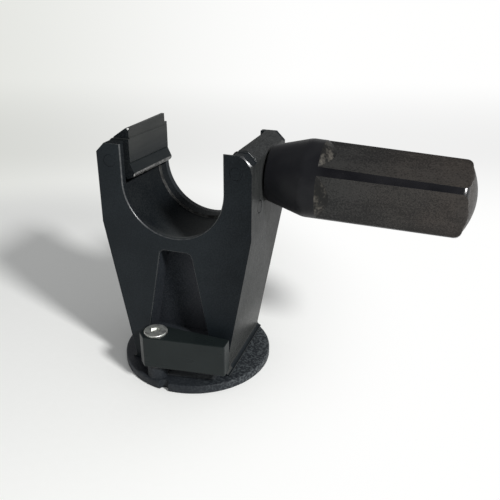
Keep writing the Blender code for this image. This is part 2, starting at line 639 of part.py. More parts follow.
def make_grip():
    """The tapered side grip with four flats behind a sloping shoulder, and the insert in its neck."""
    start = GRIP_NECK
    end = start + GRIP_LENGTH
    dome = GRIP_END_RADIUS - GRIP_END_ROUND
    bore = INSERT_RADIUS + GAP
    bore_end = start + INSERT_LENGTH + 2 * GAP
    profile = [(dome * step / 5, end + GRIP_CROWN * (1 - (step / 5) ** 2)) for step in range(5)]
    profile += arc((dome, end - GRIP_END_ROUND), GRIP_END_ROUND, 90, 0, 5)
    profile += [(GRIP_RADIUS, start + NECK_LENGTH), (NECK_END_RADIUS, start), (bore, start), (bore, bore_end),
                (0, bore_end)]
    grip = turned("side_grip", profile, GRIP_ORIGIN, ALONG_GRIP, PARTS, GRIP_BLACK, steps=64)
    edge = start + FLAT_START
    drop = (GRIP_RADIUS - FLAT_NEAR) * PAST / FLAT_RUNOUT
    foot = edge + FLAT_RUNOUT * GRIP_RADIUS / (GRIP_RADIUS - FLAT_NEAR)
    shoulder = turned("shoulder_blank", [(0, foot), (GRIP_RADIUS + drop, edge - PAST), (0, edge - PAST)],
                      GRIP_ORIGIN, ALONG_GRIP, CUTTERS, steps=64)
    reach = end + GRIP_CROWN + PAST
    outer = GRIP_RADIUS + PAST
    roll = (end - GRIP_ROLL, FLAT_FAR - GRIP_END_ROUND)
    flat = [(edge, FLAT_NEAR)] + arc(roll, GRIP_END_ROUND, 90, 15, 5)
    flat += [(reach, flat[-1][1]), (reach, outer), (edge, outer)]
    cutters = [shoulder]
    for index in range(FLAT_COUNT):
        angle = FLAT_TURN + index * 2 * math.pi / FLAT_COUNT
        cutter = extruded("flat_cutter_%d" % (index + 1), [flat], 4 * GRIP_RADIUS, GRIP_ORIGIN,
                          (angle, GRIP_TILT, 0), CUTTERS)
        cut(cutter, shoulder)
        cutters.append(cutter)
    cut(grip, *cutters[1:])
    insert = ring("grip_insert", STUD_RADIUS + GAP, INSERT_RADIUS, start + GAP, start + GAP + INSERT_LENGTH,
                  GRIP_ORIGIN, ALONG_GRIP, PARTS, BRASS)
    return [grip, insert] + cutters


def make_clamp():
    """The stud that the grip turns, its bush in the right arm, and the pad on its tip."""
    outer = GRIP_NECK + INSERT_LENGTH - GAP
    socket = PAD_BACK - PAD_SOCKET
    retainer_front = PAD_BACK + GAP
    retainer_back = retainer_front + RETAINER_THICKNESS
    waist = STUD_RADIUS - STUD_GROOVE
    stud = turned("clamp_stud", [
        (0, outer), (STUD_RADIUS, outer), (STUD_RADIUS, retainer_back + GAP), (waist, retainer_back + GAP),
        (waist, retainer_front - GAP), (STUD_RADIUS, retainer_front - GAP), (STUD_RADIUS, socket + GAP),
        (0, socket + GAP)], GRIP_ORIGIN, ALONG_GRIP, PARTS, BRIGHT_STEEL, steps=28)
    retainer = ring("stud_retainer", waist + GAP, RETAINER_RADIUS, retainer_front, retainer_back, GRIP_ORIGIN,
                    ALONG_GRIP, PARTS, BRIGHT_STEEL)
    step = -BUSH_SHOULDER - GAP
    inner = PAD_WALL + BUSH_INSET
    bore = STUD_RADIUS + GAP
    neck = BUSH_RADIUS - BUSH_STEP
    turned("clamp_bush", [
        (bore, -GAP), (neck, -GAP), (neck, step), (BUSH_RADIUS, step), (BUSH_RADIUS, inner), (bore, inner)],
        GRIP_ORIGIN, ALONG_GRIP, PARTS, BRASS, closed=True)
    pad_front = PAD_BACK - PAD_THICKNESS
    pad = turned("clamp_pad", [
        (0, socket), (bore, socket), (bore, PAD_BACK), (PAD_RADIUS, PAD_BACK), (PAD_RADIUS, pad_front),
        (0, pad_front)], GRIP_ORIGIN, ALONG_GRIP, PARTS, BRIGHT_STEEL)
    face = pad_front - GAP
    facing = turned("pad_facing", [
        (0, face), (PAD_RADIUS, face), (PAD_RADIUS, face - FACING_THICKNESS), (0, face - FACING_THICKNESS)],
        GRIP_ORIGIN, ALONG_GRIP, PARTS, RUBBER)
    return [stud, retainer], [pad, facing]


def make_grip_and_clamp():
    """Hang the turning and the sliding pieces on the clamp's axis."""
    turning = make_grip()
    stud, sliding = make_clamp()
    slide = joint_axis("clamp_slide_axis", GRIP_ORIGIN)
    hang(slide, *sliding)
    turn = joint_axis("grip_axis", GRIP_ORIGIN)
    hang(turn, *turning, *stud)
    hang(slide, turn)


def lever_outline():
    """The lever in X and Y about its own screw: a heel with cut corners that narrows to a squared tip."""
    tip_front = (LEVER_REACH - LEVER_TIP_ROUND, LEVER_TIP_OFFSET - LEVER_TIP_HALF + LEVER_TIP_ROUND)
    tip_rear = (LEVER_REACH - LEVER_TIP_ROUND, LEVER_TIP_OFFSET + LEVER_TIP_HALF - LEVER_TIP_ROUND)
    spans = []
    for corner in (tip_front, tip_rear):
        run = math.degrees(math.atan2(corner[1], corner[0]))
        lean = math.degrees(math.asin((LEVER_HUB_RADIUS - LEVER_TIP_ROUND) / math.hypot(*corner)))
        spans.append((run, lean))
    front = spans[0][0] - 90 + spans[0][1]
    rear = spans[1][0] + 90 - spans[1][1]
    heel = -LEVER_HUB_RADIUS - LEVER_HEEL
    start = heel + LEVER_HEEL_CHAMFER
    sides = []
    for angle in (front, rear):
        lean = math.radians(angle)
        sides.append((LEVER_HUB_RADIUS - start * math.cos(lean)) / math.sin(lean))
    points = [(start, sides[1]), (heel, sides[1] - LEVER_HEEL_CHAMFER),
              (heel, sides[0] + LEVER_HEEL_CHAMFER), (start, sides[0])]
    points += arc(tip_front, LEVER_TIP_ROUND, front, 0, 5)
    points += arc(tip_rear, LEVER_TIP_ROUND, 0, rear, 5)
    return points


def make_lever():
    """The lock lever, the sleeve and washer that it turns on, and its screw."""
    middle = LEVER_AXIS + Vector((0, 0, LEVER_HEIGHT / 2))
    centre = (LEVER_X, LEVER_Y)
    lever = extruded("lock_lever", [lever_outline()], LEVER_HEIGHT, middle, ALONG_Z, PARTS, GLOSS_BLACK,
                     LEVER_EDGE)
    bore = rod("sleeve_cutter", SLEEVE_RADIUS + GAP, LEVER_BOTTOM - PAST, LEVER_TOP + PAST, centre, 'Z',
               CUTTERS, sides=28)
    head_seat = LEVER_TOP - LEVER_SCREW_SINK
    head = rod("head_cutter", LEVER_SCREW_HEAD_RADIUS + GAP, head_seat - GAP, LEVER_TOP + PAST, centre, 'Z',
               CUTTERS, sides=32)
    cut(lever, bore, head)
    base = (LEVER_X, LEVER_Y, 0)
    bore_radius = LEVER_SCREW_RADIUS + GAP
    ring("lever_sleeve", bore_radius, SLEEVE_RADIUS, LEVER_BOTTOM, head_seat - GAP, base, ALONG_Z, PARTS,
         BRASS)
    hang(joint_axis("lever_axis", LEVER_AXIS), lever, bore, head)
    washer = BOSS_TOP + GAP
    ring("lever_washer", bore_radius, WASHER_RADIUS, washer, washer + WASHER_THICKNESS, base, ALONG_Z, PARTS,
         BRIGHT_STEEL)
    head_top = head_seat + LEVER_SCREW_HEAD_HEIGHT
    screw = turned("lever_screw", [
        (0, head_top), (LEVER_SCREW_HEAD_RADIUS, head_top), (LEVER_SCREW_HEAD_RADIUS, head_seat),
        (LEVER_SCREW_RADIUS, head_seat), (LEVER_SCREW_RADIUS, LEVER_SCREW_FLOOR + GAP),
        (0, LEVER_SCREW_FLOOR + GAP)], base, ALONG_Z, PARTS, BRIGHT_STEEL)
    socket = rod("socket_cutter", SOCKET_ACROSS / math.sqrt(3), head_top - SOCKET_DEPTH, head_top + PAST,
                 centre, 'Z', CUTTERS, sides=6)
    cut(screw, socket)


make_flange()
make_base_screws()
make_core()
make_front_cheek()
make_rear_cheek()
make_cheek_screws()
make_plugs()
make_clip()
make_clip_spring()
make_grip_and_clamp()
make_lever()
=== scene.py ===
# %% [markdown]
# # A cradle stand for a spool hub, dressed for its portrait
# The stand is a round foot with a forked yoke on it. A hub lies in the U of the yoke, a sprung clip in
# the left arm snaps over it, a fat side grip screws a pad against it, and a short lever sits in front.
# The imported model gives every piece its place, so the lesson starts by loading it as a fixed frame.
# Each new piece below is modelled in that frame, in metres, and then rides on one of its bodies.

# %% Load the frame
import json
import math

import bmesh
import bpy
from mathutils import Euler, Matrix, Vector


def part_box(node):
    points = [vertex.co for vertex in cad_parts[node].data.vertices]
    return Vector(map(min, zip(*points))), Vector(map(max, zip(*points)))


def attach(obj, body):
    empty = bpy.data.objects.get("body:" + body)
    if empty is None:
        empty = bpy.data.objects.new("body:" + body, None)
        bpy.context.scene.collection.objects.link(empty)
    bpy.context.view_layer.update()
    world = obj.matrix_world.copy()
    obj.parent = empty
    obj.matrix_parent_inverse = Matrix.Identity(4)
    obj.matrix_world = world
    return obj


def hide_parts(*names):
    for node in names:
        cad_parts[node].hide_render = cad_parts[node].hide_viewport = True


MM = 0.001
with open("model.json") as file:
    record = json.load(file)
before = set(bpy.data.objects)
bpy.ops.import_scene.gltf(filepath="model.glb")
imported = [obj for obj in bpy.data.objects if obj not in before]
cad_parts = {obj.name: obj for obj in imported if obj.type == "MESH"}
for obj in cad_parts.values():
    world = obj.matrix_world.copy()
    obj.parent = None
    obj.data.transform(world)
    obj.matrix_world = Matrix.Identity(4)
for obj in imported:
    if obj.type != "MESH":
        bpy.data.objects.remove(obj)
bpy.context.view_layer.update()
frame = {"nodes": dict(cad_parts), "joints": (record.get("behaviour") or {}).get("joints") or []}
joints = {joint["name"]: joint for joint in frame["joints"]}

# %% [markdown]
# ## The camera
# The photograph was taken from the right of the stand and from above. Its focal length in pixels, place
# and turn were fitted to edges of known pieces, so the camera is set from those figures and not by eye.

# %% Camera
PHOTO_PIXELS = 500
FOCAL_PIXELS = 603.29
SENSOR_WIDTH = 36.0
CAMERA_PLACE = Vector((0.10406, -0.23194, 0.16881))
CAMERA_TURN = math.radians(18.511)
CAMERA_DIP = math.radians(24.249)
CAMERA_ROLL = math.radians(-0.519)


def camera_turn():
    """The camera's rotation: it looks along its own -Z, with +Y up in the picture."""
    level = math.cos(CAMERA_DIP)
    ahead = Vector((-math.sin(CAMERA_TURN) * level, math.cos(CAMERA_TURN) * level, -math.sin(CAMERA_DIP)))
    right = Vector((math.cos(CAMERA_TURN), math.sin(CAMERA_TURN), 0.0))
    down = ahead.cross(right)
    rolled_right = right * math.cos(CAMERA_ROLL) + down * math.sin(CAMERA_ROLL)
    rolled_down = down * math.cos(CAMERA_ROLL) - right * math.sin(CAMERA_ROLL)
    return Matrix((rolled_right, -rolled_down, -ahead)).transposed().to_euler()


bpy.ops.object.select_all(action='DESELECT')
bpy.ops.object.camera_add(location=CAMERA_PLACE, rotation=camera_turn())
camera = bpy.context.object
camera.name = "photo_camera"
camera.data.sensor_fit = 'HORIZONTAL'
camera.data.sensor_width = SENSOR_WIDTH
camera.data.lens = FOCAL_PIXELS / PHOTO_PIXELS * SENSOR_WIDTH
camera.data.clip_start = 0.01
bpy.context.scene.camera = camera
bpy.context.scene.view_settings.view_transform = 'Standard'
print("camera: lens", round(camera.data.lens, 2), "mm")

# %% [markdown]
# ## Small tools for the bench
# Every piece is started from a primitive or from one vertex that is extruded along an outline. The tools
# here do what a hand does in edit mode: draw, extrude, spin, pick edges by their place, bevel, cut.

# %% Bench tools
X, Y, Z = range(3)
ALONG = {'X': (0, math.radians(90), 0), 'Y': (math.radians(-90), 0, 0), 'Z': (0, 0, 0)}
SPIN_MERGE = 0.002 * MM
CUT_MERGE = 0.004 * MM
FLAT_ANGLE = math.radians(0.3)
SORT_FROM = (0.31, 0.17, 0.73)


def pick_only(piece):
    """Select one object and nothing else."""
    bpy.ops.object.select_all(action='DESELECT')
    piece.select_set(True)
    bpy.context.view_layer.objects.active = piece


def named(name):
    """Name the object that was just added, with its mesh, and put its place into its mesh."""
    piece = bpy.context.object
    piece.name = name
    piece.data.name = name
    bpy.ops.object.transform_apply(location=True, rotation=True, scale=True)
    return piece


def arc(centre, radius, start, end, steps):
    """Points along an arc in a plane, with its angles in degrees."""
    points = []
    for step in range(steps + 1):
        angle = math.radians(start + (end - start) * step / steps)
        points.append((centre[0] + radius * math.cos(angle), centre[1] + radius * math.sin(angle)))
    return points


def draw_line(name, points):
    """A chain of edges: one vertex, extruded from point to point. Leaves edit mode open."""
    bpy.ops.object.select_all(action='DESELECT')
    bpy.ops.mesh.primitive_plane_add(size=MM, location=points[0])
    piece = named(name)
    bpy.ops.object.mode_set(mode='EDIT')
    bpy.ops.mesh.select_mode(type='VERT')
    bpy.ops.mesh.select_all(action='SELECT')
    bpy.ops.mesh.merge(type='CENTER')
    for start, end in zip(points, points[1:]):
        step = Vector(end) - Vector(start)
        bpy.ops.mesh.extrude_vertices_move(TRANSFORM_OT_translate={"value": step})
    bpy.ops.mesh.select_all(action='SELECT')
    return piece


def plate(name, points, sweep):
    """A drawn outline, filled and extruded by the vector sweep."""
    piece = draw_line(name, points)
    bpy.ops.mesh.edge_face_add()
    bpy.ops.mesh.extrude_region_move(TRANSFORM_OT_translate={"value": sweep})
    bpy.ops.mesh.select_all(action='SELECT')
    bpy.ops.mesh.normals_make_consistent(inside=False)
    bpy.ops.object.mode_set(mode='OBJECT')
    return piece


def upright(name, outline, front, rear):
    """A plate whose outline is in X and Z, from front to rear."""
    return plate(name, [(x, front, z) for x, z in outline], (0, rear - front, 0))


def lathe(name, profile, steps=128):
    """A profile of (radius, height) points, spun about Z."""
    piece = draw_line(name, [(radius, 0, height) for radius, height in profile])
    bpy.ops.mesh.spin(steps=steps, angle=2 * math.pi, center=(0, 0, 0), axis=(0, 0, 1))
    bpy.ops.mesh.select_all(action='SELECT')
    bpy.ops.mesh.remove_doubles(threshold=SPIN_MERGE)
    bpy.ops.mesh.normals_make_consistent(inside=False)
    bpy.ops.object.mode_set(mode='OBJECT')
    return piece


def place(piece, location, rotation=(0, 0, 0)):
    """Turn and move a piece that was made at the origin, and put that into its mesh."""
    pick_only(piece)
    piece.rotation_euler = rotation
    piece.location = location
    bpy.ops.object.transform_apply(location=True, rotation=True, scale=True)
    return piece


def rod(name, radius, start, end, centre, axis, sides=64):
    """A cylinder along a world axis; centre gives its other two coordinates."""
    middle = (start + end) / 2
    spots = {'X': (middle, *centre), 'Y': (centre[0], middle, centre[1]), 'Z': (*centre, middle)}
    bpy.ops.object.select_all(action='DESELECT')
    bpy.ops.mesh.primitive_cylinder_add(vertices=sides, radius=radius, depth=end - start,
                                        location=spots[axis], rotation=ALONG[axis])
    return named(name)


def combine(piece, tool, operation='DIFFERENCE'):
    """Cut a tool out of a piece, or join it on. The tool is used up."""
    step = piece.modifiers.new(tool.name, 'BOOLEAN')
    step.operation = operation
    step.solver = 'EXACT'
    step.object = tool
    pick_only(piece)
    bpy.ops.object.modifier_apply(modifier=step.name)
    bpy.data.objects.remove(tool, do_unlink=True)


def clean(piece):
    """Merge what a cut left doubled and dissolve needless edges on flat faces, in the same order each run."""
    pick_only(piece)
    bpy.ops.object.mode_set(mode='EDIT')
    bpy.ops.mesh.select_all(action='SELECT')
    bpy.context.scene.cursor.location = SORT_FROM
    bpy.ops.mesh.sort_elements(type='CURSOR_DISTANCE', elements={'VERT', 'EDGE', 'FACE'})
    bpy.context.scene.cursor.location = (0, 0, 0)
    bpy.ops.mesh.remove_doubles(threshold=CUT_MERGE)
    bpy.ops.mesh.dissolve_limited(angle_limit=FLAT_ANGLE)
    bpy.ops.mesh.normals_make_consistent(inside=False)
    bpy.ops.object.mode_set(mode='OBJECT')


def select_where(piece, kind, test):
    """Open edit mode and select just the vertices, edges or faces that pass a test. Returns their number."""
    pick_only(piece)
    bpy.ops.object.mode_set(mode='EDIT')
    bpy.ops.mesh.select_mode(type=kind)
    bpy.ops.mesh.select_all(action='DESELECT')
    mesh = bmesh.from_edit_mesh(piece.data)
    items = {'VERT': mesh.verts, 'EDGE': mesh.edges, 'FACE': mesh.faces}[kind]
    chosen = [item for item in items if test(item)]
    for item in chosen:
        item.select_set(True)
    bmesh.update_edit_mesh(piece.data)
    return len(chosen)


def round_edges(piece, width, test, segments=3, sharper=24):
    """Bevel the edges that are sharper than an angle and whose two ends pass a test."""
    def chosen(edge):
        sharp = len(edge.link_faces) == 2 and edge.calc_face_angle() > math.radians(sharper)
        return sharp and test(*(vertex.co for vertex in edge.verts))
    count = select_where(piece, 'EDGE', chosen)
    if count:
        bpy.ops.mesh.bevel(offset=width, segments=segments, profile=0.5, affect='EDGES', clamp_overlap=True)
    bpy.ops.object.mode_set(mode='OBJECT')
    return count


def near(value, target, slack=0.02 * MM):
    """True where two lengths are the same to within a little slack."""
    return abs(value - target) < slack


def both(a, b, axis, value):
    """True where both ends of an edge are at one value of an axis."""
    return near(a[axis], value) and near(b[axis], value)


def settle(piece, finishes, body, slot, *nodes, smooth=32):
    """Smooth a finished piece, give it its finish, and let it ride on a body for the nodes it replaces."""
    pick_only(piece)
    bpy.ops.object.shade_smooth_by_angle(angle=math.radians(smooth))
    weigh = piece.modifiers.new("weigh", 'WEIGHTED_NORMAL')
    weigh.keep_sharp = True
    bpy.ops.object.modifier_apply(modifier=weigh.name)
    if not piece.data.materials:
        for finish in finishes:
            piece.data.materials.append(finish)
    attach(piece, body)
    if nodes:
        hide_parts(*nodes)
    size = [round(value / MM, 1) for value in piece.dimensions]
    print(piece.name, "rides on", body + ":", len(piece.data.polygons), "faces,", size, "mm")
    return piece


def paint_faces(piece, finishes, choose):
    """Give each face the finish whose number the rule chooses from its centre and normal."""
    pick_only(piece)
    for finish in finishes:
        piece.data.materials.append(finish)
    for number in range(1, len(finishes)):
        select_where(piece, 'FACE', lambda face: choose(face.calc_center_median(), face.normal) == number)
        piece.active_material_index = number
        bpy.ops.object.material_slot_assign()
        bpy.ops.object.mode_set(mode='OBJECT')


print("bench: draw, spin, cut, bevel and settle are ready")

# %% [markdown]
# ## Tools for finishes
# A finish is a node tree on Object coordinates, which are metres in the frame, so a noise scale of 1000
# gives grains of about a millimetre. The helpers keep each finish below to a few readable lines.

# %% Finish tools
def feed(target, value):
    """Link an output to a socket, or set the socket where the value is a plain number or colour."""
    if isinstance(value, bpy.types.NodeSocket):
        target.id_data.links.new(value, target)
    else:
        target.default_value = value


def add_node(tree, kind, **sockets):
    """A new shader node with its sockets fed by name; a low line stands for a space."""
    node = tree.nodes.new("ShaderNode" + kind)
    for name, value in sockets.items():
        feed(node.inputs[name.replace("_", " ")], value)
    return node


def start_finish(name, **sockets):
    """A new Principled finish with its constant sockets set. Returns the material and its coordinates."""
    material = bpy.data.materials.new(name)
    material.use_nodes = True
    dress(material, **sockets)
    return material, add_node(material.node_tree, "TexCoord").outputs["Object"]


def dress(material, **sockets):
    """Feed sockets of a finish's shader by name: its colour, roughness and relief."""
    shader = material.node_tree.nodes["Principled BSDF"]
    for name, value in sockets.items():
        feed(shader.inputs[name.replace("_", " ")], value)
    return material


def noise(spot, scale, detail, stretch=(1, 1, 1)):
    """A noise value from 0 to 1; stretch below 1 draws the grain out along an axis."""
    mapping = add_node(spot.id_data, "Mapping", Vector=spot, Scale=stretch)
    texture = add_node(spot.id_data, "TexNoise", Vector=mapping.outputs["Vector"], Scale=scale, Detail=detail)
    return texture.outputs["Fac"]


def spread(value, low, high, to_low=0.0, to_high=1.0):
    """Map a value from one range to another, smoothly and clamped."""
    node = add_node(value.id_data, "MapRange", Value=value, From_Min=low, From_Max=high, To_Min=to_low,
                    To_Max=to_high)
    node.interpolation_type = 'SMOOTHSTEP'
    return node.outputs["Result"]


def reckon(operation, first, second):
    """One sum on an output and another output or number."""
    node = add_node(first.id_data, "Math")
    node.operation = operation
    for socket, value in zip(node.inputs, (first, second)):
        feed(socket, value)
    return node.outputs["Value"]


def shares(first, share, second, other_share):
    """A weighted sum of two values."""
    return reckon('ADD', reckon('MULTIPLY', first, share), reckon('MULTIPLY', second, other_share))


def blend_colours(amount, first, second):
    """Mix two colours, each a triple or an output."""
    node = add_node(amount.id_data, "Mix")
    node.data_type = 'RGBA'
    feed(node.inputs["Factor"], amount)
    sockets = [socket for socket in node.inputs if socket.type == 'RGBA']
    for socket, colour in zip(sockets, (first, second)):
        feed(socket, (*colour, 1.0) if isinstance(colour, tuple) else colour)
    return next(socket for socket in node.outputs if socket.type == 'RGBA')


def bump(height, depth, under=None):
    """A bump of a given depth in metres, over another bump where there is one."""
    node = add_node(height.id_data, "Bump", Strength=1.0, Distance=depth, Height=height)
    if under:
        feed(node.inputs["Normal"], under)
    return node.outputs["Normal"]


def along(spot, axis):
    """One coordinate of a place."""
    return add_node(spot.id_data, "SeparateXYZ", Vector=spot).outputs[axis]


def about(spot, centre, rotation):
    """Coordinates about another centre, turned by a rotation."""
    shift = -centre
    shift.rotate(rotation)
    return add_node(spot.id_data, "Mapping", Vector=spot, Rotation=rotation, Location=shift).outputs["Vector"]


def distance(spot):
    """How far a place is from the origin of its coordinates."""
    node = add_node(spot.id_data, "VectorMath")
    node.operation = 'LENGTH'
    feed(node.inputs[0], spot)
    return node.outputs["Value"]


print("finish tools are ready")

# %% [markdown]
# ## Moulded black
# The yoke is a moulded part in bluish black with a fine eggshell grain. Its front is dull, with painted shade
# that darkens it towards the right arm. Its outer side walls were drawn along the mould, so they are
# glossier, show upright streaks and mirror the white floor, except where they mirror the dark underside of
# the grip;
# painted light makes them paler towards the foot. The bed of the cradle is plain and matt, and painted light
# pales it to the right, where it lies in shade. The recess is painted paler to lift its shade, most of all to
# the right, and the tops of the arms are coarser. One recipe makes them all from a few figures. Edges that
# hubs and hands rub are smoother, so they have a second recipe that draws thin lines of light, from a faint
# one on an outer edge to a bright one on a bare corner. The pale lines on the lip, on some rubbed edges and
# on the bare corners are partly painted highlights, laid into their colour besides their real sheen.

# %% Moulded black finishes
def moulded(name, dark, light, roughness, sheen, grain_depth, streaks=0.0, painted_shading=None, painted_shading_share=0.5):
    """Textured plastic: mottled colour, fine grain, upright streaks, and a gradient of painted light and
    shade along one axis.
    """
    material, spot = start_finish(name, Specular_IOR_Level=sheen)
    relief = grain = noise(spot, 1700, 2)
    shade = shares(noise(spot, 70, 4), 0.35, grain, 0.65)
    if streaks:
        drawn = noise(spot, 1900, 3, stretch=(1, 1, 0.12))
        relief = shade = shares(shade, 1 - streaks, drawn, streaks)
    amount = spread(shade, 0.38, 0.64)
    # Painted light and shade: the colour grades towards its pale end along one axis, by the share given.
    if painted_shading:
        axis, start, end = painted_shading
        amount = shares(amount, 1 - painted_shading_share, spread(along(spot, axis), start, end), painted_shading_share)
    return dress(material, Base_Color=blend_colours(amount, dark, light), Normal=bump(relief, grain_depth),
                 Roughness=spread(amount, 0, 1, roughness + 0.06, roughness - 0.06))


def polished(name, dark, light, roughness, sheen):
    """Edges that hubs and hands have rubbed smooth; a pale colour given to one is a painted highlight."""
    material, spot = start_finish(name, Specular_IOR_Level=sheen)
    wear = noise(spot, 600, 4)
    return dress(material, Base_Color=blend_colours(spread(wear, 0.38, 0.66), dark, light),
                 Roughness=spread(wear, 0.35, 0.65, roughness + 0.05, roughness - 0.05),
                 Normal=bump(wear, 0.02 * MM))


# Painted shade: the face darkens towards the right arm.
moulded_face = moulded("moulded_face", (0.0030, 0.0048, 0.0065), (0.0123, 0.0164, 0.0198), 0.52, 0.15,
                       0.05 * MM, painted_shading=("X", 34 * MM, 8 * MM))
# Painted light: the walls grow paler towards the foot, where they mirror the dark disc.
moulded_wall = moulded("moulded_wall", (0.0165, 0.0176, 0.0178), (0.0560, 0.0578, 0.0562), 0.33, 0.035,
                       0.05 * MM, streaks=0.45, painted_shading=("Z", 36 * MM, 14 * MM))
# Painted light: the bed grows paler to the right, where it lies in shade.
moulded_bed = moulded("moulded_bed", (0.0046, 0.0064, 0.0080), (0.0620, 0.0655, 0.0650), 0.85, 0.06,
                      0.02 * MM, painted_shading=("X", -17 * MM, 8 * MM), painted_shading_share=0.82)
# Painted light: the recess is paler than the face to lift its shade, and paler still to the right.
moulded_recess_painted_light = moulded("moulded_recess_painted_light", (0.0150, 0.0182, 0.0222), (0.0640, 0.0672, 0.0760), 0.75, 0.08,
                         0.04 * MM, painted_shading=("X", -6 * MM, 9 * MM), painted_shading_share=0.7)
moulded_top = moulded("moulded_top", (0.012, 0.013, 0.0135), (0.034, 0.0355, 0.0355), 0.55, 0.12, 0.10 * MM)
rounded_edge = polished("rounded_edge", (0.007, 0.010, 0.012), (0.016, 0.019, 0.021), 0.30, 0.5)
# Painted highlight: the lip's pale colour draws its line of light along the U, besides its real sheen.
polished_lip_painted_highlight = polished("polished_lip_painted_highlight", (0.022, 0.025, 0.027), (0.056, 0.059, 0.060), 0.34, 0.9)
polished_edge = polished("polished_edge", (0.013, 0.015, 0.017), (0.034, 0.036, 0.037), 0.34, 1.0)
# Painted highlight: a pale colour on rubbed edges, the rib and the clip's nose draws lines of light there.
rubbed_edge_painted_highlight = polished("rubbed_edge_painted_highlight", (0.050, 0.051, 0.050), (0.130, 0.130, 0.126), 0.45, 0.25)
# Painted glint: corners worn bare are coloured near white.
bare_corner_painted_glint = polished("bare_corner_painted_glint", (0.35, 0.35, 0.34), (0.60, 0.60, 0.58), 0.40, 0.5)
print("moulded black: face, wall, bed, recess, top and five kinds of edge")

# %% [markdown]
# ## The yoke's outline
# Front plate, core and rear plate share one outline: a flared foot, sides that lean out, straight arms with
# a chamfer at the top, and a U between them. The U differs, so the outline takes it as three figures.

# %% Yoke outline
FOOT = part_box("core_frame")[0][2]
FOOT_HALF_WIDTH = 22.4 * MM
FOOT_FLARE = 1.8 * MM
FOOT_LIP = 0.6 * MM
SHOULDER_Z = 72.3 * MM
ARM_HALF_WIDTH = 34.0 * MM
ARM_CHAMFER = 3.8 * MM
ARM_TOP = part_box("front_cheek")[1][2]
CORE_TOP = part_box("core_frame")[1][2]
YOKE_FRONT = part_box("front_cheek")[0][1]
YOKE_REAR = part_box("rear_cheek")[1][1]
FRONT_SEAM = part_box("front_cheek")[1][1]
REAR_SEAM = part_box("rear_cheek")[0][1]
CRADLE_X = -0.4 * MM
CRADLE_Z = 91.1 * MM
CRADLE_RADIUS = 22.4 * MM
REAR_CRADLE_Z = 89.3 * MM
REAR_CRADLE_RADIUS = 23.8 * MM
PIN_RADIUS = 2.6 * MM
PIN_PLAY = 0.04 * MM
PIN_X, PIN_Z = joints["clip_hinge"]["pos_m"][0], joints["clip_hinge"]["pos_m"][2]
PLUG_X = 27.35 * MM
POCKET_LEFT = -30.2 * MM
POCKET_RIGHT = 26.2 * MM
PAST = 2.0 * MM
SNUG = 0.1 * MM


def half_side(top):
    """The right outer edge of the yoke, from its flared foot up to its chamfered top."""
    flare_centre = (FOOT_HALF_WIDTH + FOOT_FLARE, FOOT + FOOT_LIP + FOOT_FLARE)
    return [(FOOT_HALF_WIDTH + FOOT_FLARE, FOOT), *arc(flare_centre, FOOT_FLARE, 270, 180, 8),
            (ARM_HALF_WIDTH, SHOULDER_Z), (ARM_HALF_WIDTH, top - ARM_CHAMFER),
            (ARM_HALF_WIDTH - ARM_CHAMFER, top)]


def yoke_outline(top, inner):
    """The whole outline, round the inner edge that is given from right to left."""
    right = half_side(top)
    return right + inner + [(-x, z) for x, z in reversed(right)]


def u_shape(top, centre_z, radius):
    """The U of a plate, from right to left."""
    bottom = arc((CRADLE_X, centre_z), radius, 0, -180, 96)
    return [(CRADLE_X + radius, top), *bottom, (CRADLE_X - radius, top)]


print("yoke: foot at", round(FOOT / MM, 1), "mm, arms to", round(ARM_TOP / MM, 1), "mm")

# %% [markdown]
# ## Front plate
# The front plate carries the tapered recess that opens below the U. Its U ends in a thin, rounded lip that
# catches a line of light, because the plate is hollowed behind it, and a pale colour paints that line
# brighter. The top of the right arm is thinned from behind as well, and its outer corner is rounded off on
# the front face only. The plate is an extruded outline; the hollows, the recess and the corner are cut, and
# the lip is bevelled. The top edge of the left arm and its inner corner are painted pale as highlights.

# %% Front plate
RECESS_TOP = 62.5 * MM
RECESS_BOTTOM = 20.0 * MM
RECESS_TOP_HALF = 7.0 * MM
RECESS_BOTTOM_HALF = 14.8 * MM
RECESS_CORNER = 2.5 * MM
RECESS_FLOOR = YOKE_FRONT + 9.5 * MM
LIP_ROUND = 0.8 * MM
OUTER_ROUND = 0.45 * MM
RECESS_ROUND = 0.5 * MM
LIP_THICKNESS = 2.5 * MM
LIP_HEIGHT = 1.9 * MM
LEAD_IN_LIP = 1.0 * MM
LEAD_IN_FLOOR = ARM_TOP - 3.6 * MM
CORNER_CENTRE = (27.0 * MM, 100.2 * MM)
CORNER_RADIUS = 6.7 * MM
CORNER_DEPTH = 1.1 * MM
CORNER_RUN = 1.1 * MM
CORNER_PAST = 0.2
RECESS_SPARE = 0.3 * MM
ARC_SLACK = 0.03 * MM


def recess_outline():
    """The tapered recess with rounded upper corners."""
    slope = (RECESS_BOTTOM_HALF - RECESS_TOP_HALF) / (RECESS_TOP - RECESS_BOTTOM)
    lean = math.degrees(math.atan(slope))
    corner_x = RECESS_TOP_HALF + slope * RECESS_CORNER - RECESS_CORNER
    right = arc((corner_x, RECESS_TOP - RECESS_CORNER), RECESS_CORNER, 90, lean, 10)
    right.append((RECESS_BOTTOM_HALF, RECESS_BOTTOM))
    return [(-x, z) for x, z in right] + right[::-1]


def on_cradle(spot):
    """True on the wall of the front plate's U."""
    if spot.z > CRADLE_Z:
        return near(abs(spot.x - CRADLE_X), CRADLE_RADIUS)
    return near(math.hypot(spot.x - CRADLE_X, spot.z - CRADLE_Z), CRADLE_RADIUS, ARC_SLACK)


def bore_pins(piece, start, end):
    """The hole for the clip's pin in the left arm, and its twin in the right arm."""
    for x in (PIN_X, PLUG_X):
        combine(piece, rod("pin_hole", PIN_RADIUS + PIN_PLAY, start - PAST, end + PAST, (x, PIN_Z), 'Y'))


